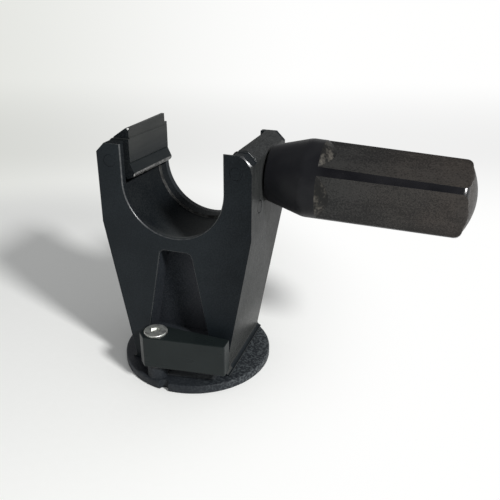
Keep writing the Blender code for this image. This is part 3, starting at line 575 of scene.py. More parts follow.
front_plate = upright("front_plate", yoke_outline(ARM_TOP, u_shape(ARM_TOP, CRADLE_Z, CRADLE_RADIUS)),
                      YOKE_FRONT, FRONT_SEAM)
lip = round_edges(front_plate, LIP_ROUND, lambda a, b: both(a, b, Y, YOKE_FRONT)
                  and on_cradle(a) and on_cradle(b), 4)
outer = round_edges(front_plate, OUTER_ROUND, lambda a, b: both(a, b, Y, YOKE_FRONT)
                    and max(a.z, b.z) > FOOT + PAST, sharper=40)
hollow = u_shape(ARM_TOP + PAST, CRADLE_Z, CRADLE_RADIUS + LIP_HEIGHT)
combine(front_plate, upright("hollow_tool", hollow, YOKE_FRONT + LIP_THICKNESS, FRONT_SEAM + PAST))
lead_in = [(CRADLE_X, LEAD_IN_FLOOR), (POCKET_RIGHT, LEAD_IN_FLOOR), (POCKET_RIGHT, ARM_TOP + PAST),
           (CRADLE_X, ARM_TOP + PAST)]
combine(front_plate, upright("lead_in_tool", lead_in, YOKE_FRONT + LEAD_IN_LIP, FRONT_SEAM + PAST))
combine(front_plate, upright("recess_tool", recess_outline(), YOKE_FRONT - PAST, FRONT_SEAM + PAST))
rim = round_edges(front_plate, RECESS_ROUND, lambda a, b: both(a, b, Y, YOKE_FRONT)
                  and max(a.z, b.z) < RECESS_TOP + PAST and min(a.z, b.z) > RECESS_BOTTOM - PAST, sharper=40)
corner_start = (CORNER_RADIUS - CORNER_PAST * CORNER_RUN, -CORNER_PAST * CORNER_DEPTH)
corner_outside = CORNER_RADIUS + 2 * CORNER_RUN
corner_profile = [corner_start, (CORNER_RADIUS + CORNER_RUN, CORNER_DEPTH), (corner_outside, CORNER_DEPTH),
                  (corner_outside, corner_start[1]), corner_start]
corner_tool = lathe("corner_tool", corner_profile)
place(corner_tool, (CORNER_CENTRE[0], YOKE_FRONT, CORNER_CENTRE[1]), ALONG['Y'])
pick_only(corner_tool)
bpy.ops.object.mode_set(mode='EDIT')
for normal in ((-1, 0, 0), (0, 0, -1)):
    bpy.ops.mesh.select_all(action='SELECT')
    bpy.ops.mesh.bisect(plane_co=(CORNER_CENTRE[0], 0, CORNER_CENTRE[1]), plane_no=normal, use_fill=True,
                        clear_outer=True)
bpy.ops.object.mode_set(mode='OBJECT')
combine(front_plate, corner_tool)
bore_pins(front_plate, YOKE_FRONT, FRONT_SEAM)


def in_recess(spot):
    """True within the outline of the recess, with a little to spare."""
    slope = (RECESS_BOTTOM_HALF - RECESS_TOP_HALF) / (RECESS_TOP - RECESS_BOTTOM)
    half = RECESS_TOP_HALF + slope * (RECESS_TOP - spot.z) + RECESS_SPARE
    return RECESS_BOTTOM - RECESS_SPARE < spot.z < RECESS_TOP + RECESS_SPARE and abs(spot.x) < half


def plate_finish(centre, normal):
    """0 face, 1 walls, 2 lip, 3 behind the lip, 4 recess, 5 round corner, 6 rubbed edge, 7 bare corner, 8
    other edges; 2, 6 and 7 are painted pale as highlights.
    """
    outside = abs(centre.x) > FOOT_HALF_WIDTH - MM and normal.x * centre.x > 0
    reach = math.hypot(centre.x - CRADLE_X, min(centre.z - CRADLE_Z, 0))
    beside_cradle = reach < CRADLE_RADIUS + 2 * LIP_HEIGHT
    if outside and abs(normal.x) > 0.35 and centre.z < ARM_TOP - ARM_CHAMFER:
        return 1
    if -0.97 < normal.y < -0.2:
        if outside and centre.z > CORNER_CENTRE[1] and normal.x > 0.2:
            return 5
        if centre.x < CRADLE_X and centre.z > ARM_TOP - MM and normal.z > 0.3:
            return 7 if centre.x > CRADLE_X - CRADLE_RADIUS - 2 * LIP_ROUND else 6
        return 2 if beside_cradle else 8
    if in_recess(centre) and abs(normal.y) < 0.2:
        return 4
    return 3 if centre.y > YOKE_FRONT + LEAD_IN_LIP and beside_cradle else 0


paint_faces(front_plate, [moulded_face, moulded_wall, polished_lip_painted_highlight, moulded_bed, moulded_recess_painted_light,
                          polished_edge, rubbed_edge_painted_highlight, bare_corner_painted_glint, rounded_edge], plate_finish)
settle(front_plate, [], "stand", "textured_black", "front_cheek")
print("front plate:", lip, "lip edges,", outer, "outer edges,", rim, "recess edges rounded")

# %% [markdown]
# ## Core
# The core is the thick middle of the yoke. Its bed is a round trough that ends in a low rib at the back,
# with a deep pocket for the clip in the left arm and a square block in the right arm for the clamp screw.
# Its front and rear faces meet the plates, so those seams stay sharp and only the open edges are rounded.

# %% Core
SEAM_PLAY = 0.01 * MM
TROUGH_RADIUS = 25.4 * MM
TROUGH_REAR = 17.5 * MM
POCKET_FLOOR = 87.6 * MM
BARREL_SEAT = 4.2 * MM
CORE_ROUND = 0.35 * MM
CHAMFER_SPARE = 0.3 * MM
WALL_DEPTH = 12.0 * MM
SIDE_PLUG_Y = -10.8 * MM
SIDE_PLUG_Z = 83.8 * MM
SIDE_PLUG_LENGTH = 7.0 * MM
SIDE_PLAY = 0.28 * MM
BUSH_BORES = ((5.5 * MM, -10 * MM, PAST), (6.3 * MM, -14 * MM, -4.0 * MM))
GRIP_ORIGIN = Vector((34.0, 2.9, 94.35)) * MM
GRIP_TILT = math.radians(1.8)
ALONG_GRIP = (0, math.radians(90) + GRIP_TILT, 0)
SPRING_SEAT = (2.6 * MM, 1.6 * MM, 93.2 * MM)
CLIP_MIDDLE = 3.5 * MM
core_front = FRONT_SEAM + SEAM_PLAY
core_rear = REAR_SEAM - SEAM_PLAY
rib_angle = math.degrees(math.asin((REAR_CRADLE_Z - POCKET_FLOOR) / REAR_CRADLE_RADIUS))
inner_edge = [(POCKET_RIGHT, CORE_TOP), (POCKET_RIGHT, POCKET_FLOOR),
              *arc((CRADLE_X, REAR_CRADLE_Z), REAR_CRADLE_RADIUS, -rib_angle, rib_angle - 180, 96),
              (POCKET_LEFT, POCKET_FLOOR), (POCKET_LEFT, CORE_TOP)]
core = upright("cradle_core", yoke_outline(CORE_TOP, inner_edge), core_front, core_rear)
bed_outline = [(CRADLE_X + TROUGH_RADIUS, REAR_CRADLE_Z + 3 * PAST),
               *arc((CRADLE_X, REAR_CRADLE_Z), TROUGH_RADIUS, 0, -180, 96),
               (CRADLE_X - TROUGH_RADIUS, REAR_CRADLE_Z + 3 * PAST)]
combine(core, upright("bed_tool", bed_outline, core_front - PAST, TROUGH_REAR))
combine(core, upright("recess_tool", recess_outline(), core_front - PAST, RECESS_FLOOR))
combine(core, rod("barrel_tool", BARREL_SEAT, core_front - PAST, core_rear + PAST, (PIN_X, PIN_Z), 'Y'))
combine(core, rod("side_plug_tool", PIN_RADIUS + SIDE_PLAY, ARM_HALF_WIDTH - SIDE_PLUG_LENGTH - PIN_PLAY,
                  ARM_HALF_WIDTH + PAST, (SIDE_PLUG_Y, SIDE_PLUG_Z), 'X'))
combine(core, rod("spring_tool", SPRING_SEAT[0], POCKET_LEFT - SPRING_SEAT[1], POCKET_LEFT + PAST,
                  (CLIP_MIDDLE, SPRING_SEAT[2]), 'X'))
for radius, start, end in BUSH_BORES:
    combine(core, place(rod("bush_tool", radius, start, end, (0, 0), 'Z'), GRIP_ORIGIN, ALONG_GRIP))
clean(core)


def open_edge(a, b):
    """The core's edges that no plate covers."""
    if near(a.x, b.x) and near(a.z, b.z):
        return a.z > POCKET_FLOOR - PAST and abs(a.y - b.y) > PAST
    if both(a, b, Y, core_front) or both(a, b, Y, core_rear):
        return min(a.z, b.z) > ARM_TOP - ARM_CHAMFER + CHAMFER_SPARE
    return both(a, b, Y, TROUGH_REAR)


rounded = round_edges(core, CORE_ROUND, open_edge)


def core_finish(centre, normal):
    """0 face, 1 walls, 2 bed, 3 front edges, 4 recess, 5 tops of the arms, 6 rib, worn and painted pale as a
    highlight.
    """
    if -0.95 < normal.y < -0.3 and centre.z > ARM_TOP - ARM_CHAMFER:
        return 3
    if near(centre.y, TROUGH_REAR, MM) and normal.y < -0.8:
        return 6
    if centre.y < RECESS_FLOOR + SNUG and in_recess(centre):
        return 4
    if centre.z > ARM_TOP - ARM_CHAMFER - MM and normal.z > 0.5:
        return 5
    if abs(normal.x) > 0.9 and abs(centre.x) > ARM_HALF_WIDTH - WALL_DEPTH and centre.z < ARM_TOP:
        outside = abs(centre.x) > FOOT_HALF_WIDTH - MM and normal.x * centre.x > 0
        return 1 if outside else 2
    reach = math.hypot(centre.x - CRADLE_X, centre.z - REAR_CRADLE_Z)
    return 2 if reach < TROUGH_RADIUS + MM and centre.z < ARM_TOP else 0


paint_faces(core, [moulded_face, moulded_wall, moulded_bed, rounded_edge, moulded_recess_painted_light, moulded_top,
                   rubbed_edge_painted_highlight], core_finish)
settle(core, [], "stand", "textured_black", "core_frame")
print("core:", rounded, "open edges rounded")

# %% [markdown]
# ## Rear plate
# The rear plate closes the back of the sandwich. Four long screws pass through it, their heads sunk in
# counterbores. It is the same outline with the wider U, and its rear edges are rounded all the way round.

# %% Rear plate
CHEEK_SCREWS = [(side * x * MM, z * MM) for x, z in ((23.0, 66.0), (19.8, 13.0)) for side in (-1, 1)]
CHEEK_SCREW_HEAD = 2.75 * MM
CHEEK_SCREW_HEIGHT = 1.6 * MM
CHEEK_SCREW_SHANK = 1.5 * MM
SCREW_PLAY = 0.15 * MM
rear_plate = upright("rear_plate", yoke_outline(ARM_TOP, u_shape(ARM_TOP, REAR_CRADLE_Z, REAR_CRADLE_RADIUS)),
                     REAR_SEAM, YOKE_REAR)
back = round_edges(rear_plate, OUTER_ROUND, lambda a, b: both(a, b, Y, YOKE_REAR)
                   and max(a.z, b.z) > FOOT + PAST)
bore_pins(rear_plate, REAR_SEAM, YOKE_REAR)
for spot in CHEEK_SCREWS:
    sink = rod("sink_tool", CHEEK_SCREW_HEAD + SCREW_PLAY, YOKE_REAR - CHEEK_SCREW_HEIGHT - SCREW_PLAY,
               YOKE_REAR + PAST, spot, 'Y')
    combine(rear_plate, sink)
    combine(rear_plate, rod("shank_tool", CHEEK_SCREW_SHANK + SCREW_PLAY, REAR_SEAM - PAST, YOKE_REAR,
                            spot, 'Y'))
paint_faces(rear_plate, [moulded_face, moulded_wall], lambda centre, normal: int(
    abs(normal.x) > 0.9 and normal.x * centre.x > 0 and abs(centre.x) > FOOT_HALF_WIDTH - MM))
settle(rear_plate, [], "stand", "textured_black", "rear_cheek")
print("rear plate:", back, "edges rounded")

# %% [markdown]
# ## Coated foot
# The foot is a turned disc with a coarse, sandy powder coat. Its rim is rounded, a small notch marks its
# front, and a boss carries the lever. The disc starts as a cylinder; the rim is bevelled, the boss is
# joined on, and a fillet at its foot takes away the hard inner corner that a real casting wouldn't have.

# %% Coated foot finish
LEVER_SLANT = 0.165
# Painted light on the foot: grains brighter towards the lit right and back, a pale fill on the shaded left,
# and a pale fill in the lever's shadow.
LIT_RANGE = (-28 * MM, 26 * MM)
PAINTED_FILL_RANGE = (-28 * MM, -8 * MM)
LEVER_SHADOW_LEFT, LEVER_SHADOW_RIGHT = (-6 * MM, -2 * MM), (20 * MM, 14 * MM)
LEVER_SHADOW_EDGE = (-28.6 * MM, -27.7 * MM)


def coated(name):
    """Powder coat: sandy grains with a slight sheen, painted brighter towards the lit side, and painted light
    on the shaded left and in the lever's shadow.
    """
    material, spot = start_finish(name, Specular_IOR_Level=0.22)
    coarse = noise(spot, 1050, 2)
    x, y = along(spot, "X"), along(spot, "Y")
    # Painted glints: the grains show brighter towards the right and back, where the lamp grazes the coat.
    lit = spread(reckon('ADD', x, y), *LIT_RANGE, 0.20, 1.0)
    grain = reckon('MULTIPLY', spread(coarse, 0.40, 0.66), lit)
    shade = shares(grain, 0.75, noise(spot, 90, 3), 0.25)
    colour = blend_colours(spread(shade, 0.02, 0.95), (0.0115, 0.0140, 0.0178), (0.066, 0.075, 0.080))
    # Painted light: a paler colour fills the shade on the left of the disc.
    colour = blend_colours(spread(x, *PAINTED_FILL_RANGE, 0.7, 0.0), colour, (0.050, 0.054, 0.064))
    # Painted light: a pale patch fills the lever's shadow on the disc, up to the shadow's slanted edge.
    inward = reckon('ADD', y, reckon('MULTIPLY', x, -LEVER_SLANT))
    lever_shadow_fill = reckon('MULTIPLY', spread(x, *LEVER_SHADOW_LEFT), spread(x, *LEVER_SHADOW_RIGHT))
    lever_shadow_fill = reckon('MULTIPLY', lever_shadow_fill, spread(inward, *LEVER_SHADOW_EDGE))
    return dress(material, Base_Color=blend_colours(lever_shadow_fill, colour, (0.150, 0.160, 0.168)),
                 Roughness=spread(grain, 0.0, 1.0, 0.62, 0.44), Normal=bump(coarse, 0.22 * MM))


coated_foot = coated("coated_foot")

# %% Coated foot
FLANGE_RADIUS = 35.0 * MM
FLANGE_TOP = 4.2 * MM
RIM_ROUND = 0.8 * MM
NOTCH_RADIUS = 2.4 * MM
NOTCH_ANGLE = math.radians(-93.5)
BOSS_RADIUS = 4.6 * MM
BOSS_TOP = 10.1 * MM
BOSS_FILLET = 0.9 * MM
BOSS_ROUND = 0.25 * MM
BOSS_BORE = 3.3 * MM
BOSS_FLOOR = 1.2 * MM
BASE_SCREWS = [(x * MM, y * MM) for x in (-14.0, 14.0) for y in (-9.85, 14.15)]
BASE_SCREW_HEAD = 3.4 * MM
BASE_SCREW_SHANK = 1.7 * MM
BASE_SCREW_SINK = 0.3 * MM
BASE_SCREW_HEIGHT = 1.9 * MM
lever_centre = tuple(joints["lever_swing"]["pos_m"][:2])
foot = rod("foot_disc", FLANGE_RADIUS, 0, FLANGE_TOP, (0, 0), 'Z', sides=240)
round_edges(foot, RIM_ROUND, lambda a, b: near(a.z, b.z), 4, sharper=60)
combine(foot, rod("boss", BOSS_RADIUS, FLANGE_TOP - MM, BOSS_TOP, lever_centre, 'Z', sides=96), 'UNION')
clean(foot)


def boss_edge(height):
    """Edges round the boss at a height."""
    def test(a, b):
        reach = math.hypot(a.x - lever_centre[0], a.y - lever_centre[1])
        return both(a, b, Z, height) and near(reach, BOSS_RADIUS, SNUG / 2)
    return test


round_edges(foot, BOSS_FILLET, boss_edge(FLANGE_TOP), 4)
round_edges(foot, BOSS_ROUND, boss_edge(BOSS_TOP), 2)
notch_spot = (FLANGE_RADIUS * math.cos(NOTCH_ANGLE), FLANGE_RADIUS * math.sin(NOTCH_ANGLE))
combine(foot, rod("notch_tool", NOTCH_RADIUS, -PAST, FLANGE_TOP + PAST, notch_spot, 'Z', sides=48))
combine(foot, rod("bore_tool", BOSS_BORE, BOSS_FLOOR, BOSS_TOP + PAST, lever_centre, 'Z', sides=48))
sink_shank, sink_head = BASE_SCREW_SHANK + SCREW_PLAY, BASE_SCREW_HEAD + SCREW_PLAY
sink_profile = [(0, FLANGE_TOP + PAST), (sink_shank, FLANGE_TOP + PAST),
                (sink_shank, BASE_SCREW_SINK + BASE_SCREW_HEIGHT + SCREW_PLAY), (sink_head, BASE_SCREW_SINK),
                (sink_head, -PAST), (0, -PAST)]
for x, y in BASE_SCREWS:
    combine(foot, place(lathe("sink_tool", sink_profile, 48), (x, y, 0)))
settle(foot, [coated_foot], "stand", "coated_steel", "base_flange")

# %% [markdown]
# ## Gloss black
# The clip and the lever are smooth, almost polished black. They read as black only because of what they
# mirror: a pale floor turns their flat faces dark green-grey, and every rounded edge draws a bright line.
# Fine rubbing marks in the roughness keep them from looking like glass. The clip's colour is painted paler
# towards its top, standing in for reflected light.

# %% Gloss black finish
CLIP_PAINTED_SHEEN_HEIGHTS = (95 * MM, 107 * MM)


def glossy(name, dark, light, roughness, sheen, marks, painted_sheen_heights=None):
    """Smooth plastic with faint rubbing marks, painted paler from one height to another where heights are
    given, as painted reflection.
    """
    material, spot = start_finish(name, Specular_IOR_Level=sheen)
    rubbed = noise(spot, 420, 5, stretch=marks)
    mottle = noise(spot, 55, 3)
    pits = spread(noise(spot, 1700, 2), 0.66, 0.78)
    amount = spread(mottle, 0.3, 0.7)
    # Painted reflection: the colour grows paler between the two heights.
    if painted_sheen_heights:
        amount = shares(amount, 0.2, spread(along(spot, "Z"), *painted_sheen_heights), 0.8)
    rough = spread(rubbed, 0.3, 0.75, roughness - 0.05, roughness + 0.08)
    return dress(material, Base_Color=blend_colours(amount, dark, light),
                 Roughness=reckon('ADD', rough, reckon('MULTIPLY', pits, 0.08)),
                 Normal=bump(mottle, 0.05 * MM, under=bump(rubbed, 0.003 * MM)))


gloss_clip = glossy("gloss_clip", (0.0068, 0.0095, 0.0108), (0.0300, 0.0318, 0.0308), 0.38, 0.06,
                    (1, 0.12, 1), CLIP_PAINTED_SHEEN_HEIGHTS)
gloss_lever = glossy("gloss_lever", (0.0090, 0.0125, 0.0127), (0.0120, 0.0160, 0.0160), 0.32, 0.20,
                     (0.12, 1, 1))
print("gloss black: clip and lever")

# %% [markdown]
# ## Rocker clip
# The clip is an extruded section: a thumb tab at the top, a sloping hood behind it, a flat panel, a crease
# and a lip that hooks over the hub. A barrel on its back turns on a pin. The section is drawn once and
# extruded, and below the tab its lines fall a little to the rear. The barrel is joined on, the tab's ends
# are cut back, and all its edges are broken. Two of its corners are worn down and painted near white as
# glints, and the nose of the lip is painted pale as a highlight.

# %% Rocker clip
CLIP_FRONT, CLIP_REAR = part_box("rocker_clip")[0][1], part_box("rocker_clip")[1][1]
CLIP_SECTION = [
    (-22.8, 111.8), (-24.2, 111.8), (-29.9, 107.9), (-29.9, 104.6), (-24.9, 104.6), (-24.9, 90.5),
    (-24.0, 89.6), (-21.4, 90.5), (-20.6, 91.55), (-20.6, 92.45), (-22.3, 96.1), (-22.7, 96.5), (-22.3, 96.9),
    (-22.3, 107.0), (-22.8, 107.5)]
CLIP_BARREL = 3.9 * MM
CLIP_ROUND = 0.28 * MM
TAB_INSET = 1.3 * MM
TAB_FOOT = 107.5 * MM
LIP_NOSE = 93.2 * MM
CLIP_LEAN = 0.7 * MM
WORN_CORNER = 0.75 * MM
TAB_TOOL_LEFT, TAB_TOOL_TOP = -40 * MM, 120 * MM
clip = upright("clip_rocker", [(x * MM, z * MM) for x, z in CLIP_SECTION], CLIP_FRONT, CLIP_REAR)
for end, lift in ((CLIP_FRONT, CLIP_LEAN), (CLIP_REAR, -CLIP_LEAN)):
    select_where(clip, 'VERT', lambda vertex: near(vertex.co.y, end) and vertex.co.z < TAB_FOOT + SNUG)
    bpy.ops.transform.translate(value=(0, 0, lift))
    bpy.ops.object.mode_set(mode='OBJECT')
for start, end in ((CLIP_FRONT - PAST, CLIP_FRONT + TAB_INSET), (CLIP_REAR - TAB_INSET, CLIP_REAR + PAST)):
    tab_end = [(TAB_TOOL_LEFT, TAB_FOOT), (0, TAB_FOOT), (0, TAB_TOOL_TOP), (TAB_TOOL_LEFT, TAB_TOOL_TOP)]
    combine(clip, upright("tab_tool", tab_end, start, end))
combine(clip, rod("barrel", CLIP_BARREL, CLIP_FRONT, CLIP_REAR, (PIN_X, PIN_Z), 'Y', sides=96), 'UNION')
combine(clip, rod("bore_tool", PIN_RADIUS + PIN_PLAY, CLIP_FRONT - PAST, CLIP_REAR + PAST,
                  (PIN_X, PIN_Z), 'Y'))
clean(clip)
tab_x, tab_z = CLIP_SECTION[0]
nose_x, nose_z = CLIP_SECTION[8]
corners = [Vector((tab_x * MM, CLIP_FRONT + TAB_INSET, tab_z * MM)),
           Vector((nose_x * MM, CLIP_FRONT, nose_z * MM + CLIP_LEAN))]
select_where(clip, 'VERT', lambda vertex: any((vertex.co - corner).length < SNUG for corner in corners))
bpy.ops.mesh.bevel(offset=WORN_CORNER, segments=1, affect='VERTICES')
bpy.ops.object.mode_set(mode='OBJECT')
broken = round_edges(clip, CLIP_ROUND,
                     lambda a, b: math.hypot(a.x - PIN_X, a.z - PIN_Z) > CLIP_BARREL + SNUG)


def clip_finish(centre, normal):
    """0 for gloss, 1 for the matt ends, 2 for the rubbed nose of the lip, painted pale as a highlight, 3 for
    two bare corners, painted as glints.
    """
    if any((centre - corner).length < WORN_CORNER for corner in corners):
        return 3
    if abs(normal.y) > 0.9:
        return 1
    return 2 if normal.x > 0.3 and normal.z < 0.3 and centre.z < LIP_NOSE else 0


paint_faces(clip, [gloss_clip, moulded_bed, rubbed_edge_painted_highlight, bare_corner_painted_glint], clip_finish)
settle(clip, [], "clip", "gloss_black", "rocker_clip")
print("clip:", broken, "edges broken")

# %% [markdown]
# ## Lock lever
# The lever is a short arm: a heel with cut corners over the boss that narrows to a squared tip. Seen from
# the front it is a flat dark face between two bright ends. Its plan is drawn and extruded upwards, its
# edges are broken, and the seat for the bolt's head is bored into the heel.

# %% Lock lever
LEVER_X, LEVER_Y = lever_centre
LEVER_BOTTOM, LEVER_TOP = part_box("lock_lever")[0][2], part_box("lock_lever")[1][2]
HUB_RADIUS = 5.9 * MM
LEVER_REACH = 33.0 * MM
TIP_OFFSET = 1.35 * MM
TIP_HALF = 3.15 * MM
TIP_ROUND = 0.7 * MM
HEEL_PAST = 0.55 * MM
HEEL = HUB_RADIUS + HEEL_PAST
HEEL_CHAMFER = 3.25 * MM
LEVER_ROUND = 0.4 * MM
SLEEVE_BORE = 4.2 * MM
BOLT_HEAD = 5.2 * MM
SEAT_DEPTH = 1.0 * MM
BOLT_SEAT = LEVER_TOP - SEAT_DEPTH
BOLT_PLAY = 0.1 * MM


def lever_plan():
    """The lever's plan about its own axis: cut heel, straight sides, squared tip."""
    corners = [(LEVER_REACH - TIP_ROUND, TIP_OFFSET + side * (TIP_HALF - TIP_ROUND)) for side in (-1, 1)]
    runs = [math.degrees(math.atan2(y, x)) for x, y in corners]
    leans = [math.degrees(math.asin((HUB_RADIUS - TIP_ROUND) / math.hypot(x, y))) for x, y in corners]
    front = runs[0] - 90 + leans[0]
    rear = runs[1] + 90 - leans[1]
    start = HEEL_CHAMFER - HEEL
    near_y, far_y = [(HUB_RADIUS - start * math.cos(math.radians(angle))) / math.sin(math.radians(angle))
                     for angle in (front, rear)]
    heel = [(start, far_y), (-HEEL, far_y - HEEL_CHAMFER), (-HEEL, near_y + HEEL_CHAMFER), (start, near_y)]
    return heel + arc(corners[0], TIP_ROUND, front, 0, 8) + arc(corners[1], TIP_ROUND, 0, rear, 8)


lever = plate("lever_arm", [(LEVER_X + x, LEVER_Y + y, LEVER_BOTTOM) for x, y in lever_plan()],
              (0, 0, LEVER_TOP - LEVER_BOTTOM))
round_edges(lever, LEVER_ROUND, lambda a, b: near(a.x, b.x) and near(a.y, b.y), sharper=40)
round_edges(lever, LEVER_ROUND, lambda a, b: both(a, b, Z, LEVER_TOP))
round_edges(lever, LEVER_ROUND, lambda a, b: both(a, b, Z, LEVER_BOTTOM))
combine(lever, rod("sleeve_tool", SLEEVE_BORE, LEVER_BOTTOM - PAST, LEVER_TOP + PAST, lever_centre, 'Z'))
combine(lever, rod("seat_tool", BOLT_HEAD + 2 * BOLT_PLAY, BOLT_SEAT - BOLT_PLAY, LEVER_TOP + PAST,
                   lever_centre, 'Z', 96))
settle(lever, [gloss_lever], "lever", "gloss_black", "lock_lever")

# %% [markdown]
# ## Bright steel, brass and rubber
# The lever's bolt is bare steel that has seen weather: pale, with dull grey blotches. The same steel serves
# the screws and the pin. Brass bushes and a rubber facing are hidden inside, and get plain honest finishes.

# %% Metal and rubber finishes
def steel(name, pale, dull, roughness, blotch=330):
    """Bare steel with blotches that are duller and rougher."""
    material, spot = start_finish(name, Metallic=1.0)
    patch = spread(noise(spot, blotch, 5), 0.40, 0.64)
    return dress(material, Base_Color=blend_colours(patch, dull, pale),
                 Roughness=spread(patch, 0, 1, roughness + 0.16, roughness - 0.06),
                 Normal=bump(noise(spot, 1500, 3), 0.012 * MM, under=bump(patch, 0.02 * MM)))


def rubbery(name):
    """Dull rubber with a fine bloom."""
    material, spot = start_finish(name, Specular_IOR_Level=0.25)
    bloom = noise(spot, 500, 4)
    return dress(material, Base_Color=blend_colours(bloom, (0.010, 0.010, 0.010), (0.022, 0.021, 0.020)),
                 Roughness=spread(bloom, 0.3, 0.7, 0.9, 0.75), Normal=bump(noise(spot, 2400, 2), 0.04 * MM))


bright_steel = steel("bright_steel", (0.86, 0.87, 0.83), (0.56, 0.58, 0.55), 0.50)
plain_steel = steel("plain_steel", (0.52, 0.52, 0.51), (0.30, 0.30, 0.30), 0.32, 160)
dark_steel = steel("dark_steel", (0.070, 0.070, 0.072), (0.035, 0.035, 0.037), 0.42, 160)
turned_brass = steel("turned_brass", (0.66, 0.50, 0.24), (0.45, 0.33, 0.15), 0.32, 160)
rubber = rubbery("rubber")
print("metals: bright, plain and dark steel, brass; and rubber")

# %% [markdown]
# ## Bolt and screws
# The bolt in the lever has a low round head with a hex socket. The foot's screws are countersunk and the
# rear plate's are cheese-headed, also with sockets. A screw is a turned profile with a hex cut into it, so
# one recipe takes the profile, the socket and the way it points, and each copy is its own mesh.

# %% Bolt and screws
def socket_screw(name, profile, across, depth, place_at, rotation, body, node, finish):
    """A screw whose head is at the top of its profile, with a hex socket in it."""
    screw = lathe(name, profile, 72)
    top = profile[0][1]
    combine(screw, rod("socket_tool", across / math.sqrt(3), top - depth, top + PAST, (0, 0), 'Z', sides=6))
    clean(screw)
    place(screw, place_at, rotation)
    return settle(screw, [finish], body, "bright_steel", node)


BOLT_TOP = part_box("lever_screw")[1][2]
BOLT_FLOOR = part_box("lever_screw")[0][2]
BOLT_ROUND = 0.5 * MM
BOLT_SHANK = 3.0 * MM
BOLT_SOCKET, BOLT_SOCKET_DEPTH = 4.0 * MM, 0.7 * MM
SCREW_SOCKET = 2.5 * MM
BASE_SOCKET_DEPTH = 1.2 * MM
CHEEK_SOCKET_DEPTH = 1.0 * MM
CHEEK_HEAD_ROUND = 0.3 * MM
BOLT_TURN, BASE_TURN, CHEEK_TURN = 0.35, 0.4, 0.5
head_height, bolt_tip = BOLT_TOP - BOLT_SEAT, BOLT_FLOOR - BOLT_SEAT
head_edge = arc((BOLT_HEAD - BOLT_ROUND, head_height - BOLT_ROUND), BOLT_ROUND, 90, 0, 6)
bolt_profile = [(0, head_height), *head_edge, (BOLT_HEAD, 0), (BOLT_SHANK, 0), (BOLT_SHANK, bolt_tip),
                (0, bolt_tip)]
socket_screw("lever_bolt", bolt_profile, BOLT_SOCKET, BOLT_SOCKET_DEPTH, (LEVER_X, LEVER_Y, BOLT_SEAT),
             (0, 0, BOLT_TURN), "stand", "lever_screw", bright_steel)

base_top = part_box("base_screw_1")[1][2]
base_profile = [(0, -BASE_SCREW_SINK), (BASE_SCREW_HEAD, -BASE_SCREW_SINK),
                (BASE_SCREW_SHANK, -BASE_SCREW_SINK - BASE_SCREW_HEIGHT), (BASE_SCREW_SHANK, -base_top),
                (0, -base_top)]
for number, (x, y) in enumerate(BASE_SCREWS, 1):
    socket_screw("foot_screw_%d" % number, base_profile, SCREW_SOCKET, BASE_SOCKET_DEPTH, (x, y, 0),
                 (math.pi, 0, BASE_TURN * number), "stand", "base_screw_%d" % number, plain_steel)

cheek_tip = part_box("cheek_screw_1")[0][1]
cheek_edge = arc((CHEEK_SCREW_HEAD - CHEEK_HEAD_ROUND, -CHEEK_HEAD_ROUND), CHEEK_HEAD_ROUND, 90, 0, 4)
cheek_profile = [(0, 0), *cheek_edge,
                 (CHEEK_SCREW_HEAD, -CHEEK_SCREW_HEIGHT), (CHEEK_SCREW_SHANK, -CHEEK_SCREW_HEIGHT),
                 (CHEEK_SCREW_SHANK, cheek_tip - YOKE_REAR), (0, cheek_tip - YOKE_REAR)]
for number, (x, z) in enumerate(CHEEK_SCREWS, 1):
    socket_screw("rear_screw_%d" % number, cheek_profile, SCREW_SOCKET, CHEEK_SOCKET_DEPTH, (x, YOKE_REAR, z),
                 (math.radians(-90), CHEEK_TURN * number, 0), "stand", "cheek_screw_%d" % number, plain_steel)

# %% [markdown]
# ## Pin and plugs
# The clip's pin ends flush with the plates, and plugs of the same size close the holes of the right arm,
# which show as faint rings. Each is a rod with broken ends and a shallow dish, so that its ring shows.

# %% Pin and plugs
PLUG_ROUND = 0.2 * MM
PLUG_DISH = 0.05 * MM
PLUG_RIM = 0.5 * MM


def plug(name, start, end, centre, axis, finish, slot, node):
    """A rod with broken ends and a shallow dish in each end."""
    piece = rod(name, PIN_RADIUS, start, end, centre, axis)
    number = 'XYZ'.index(axis)
    round_edges(piece, PLUG_ROUND, lambda a, b: near(a[number], b[number]), 3, sharper=60)
    for side in (start, end):
        select_where(piece, 'FACE', lambda face: near(face.calc_center_median()[number], side)
                     and abs(face.normal[number]) > 0.99)
        bpy.ops.mesh.inset(thickness=PLUG_RIM, depth=-PLUG_DISH)
        bpy.ops.object.mode_set(mode='OBJECT')
    return settle(piece, [finish], "stand", slot, node)


for side, start, end in (("front", YOKE_FRONT, FRONT_SEAM), ("rear", REAR_SEAM, YOKE_REAR)):
    plug(side + "_plug_cap", start, end, (PLUG_X, PIN_Z), 'Y', moulded_face, "textured_black", side + "_plug")
plug("side_plug_cap", ARM_HALF_WIDTH - SIDE_PLUG_LENGTH, ARM_HALF_WIDTH, (SIDE_PLUG_Y, SIDE_PLUG_Z), 'X',
     moulded_wall, "textured_black", "side_plug")
plug("hinge_pin", YOKE_FRONT, YOKE_REAR, (PIN_X, PIN_Z), 'Y', moulded_face, "bright_steel", "clip_pin")

# %% [markdown]
# ## Side grip
# The grip is the largest piece: a cone that widens from the arm, a short round band, and then four long
# flats that start at sloping shoulders and roll over at the far end. The round corners between the flats
# stay bluish black. The flats are handled most, so they are browner and worn, and they are painted paler
# beside one corner, as reflected light; the shoulders are rubbed pale. It is spun as one round body and the
# flats are cut from it. Each kind of face has its own finish.

# %% Side grip finishes
SHEEN_CORNER_PLACE = (-14.3 * MM, 7.8 * MM)
STRIP_RANGE = (21 * MM, 28 * MM)
PAINTED_SHEEN_RANGE = (3 * MM, 21 * MM)
BROWN_RANGE = (24 * MM, 80 * MM)


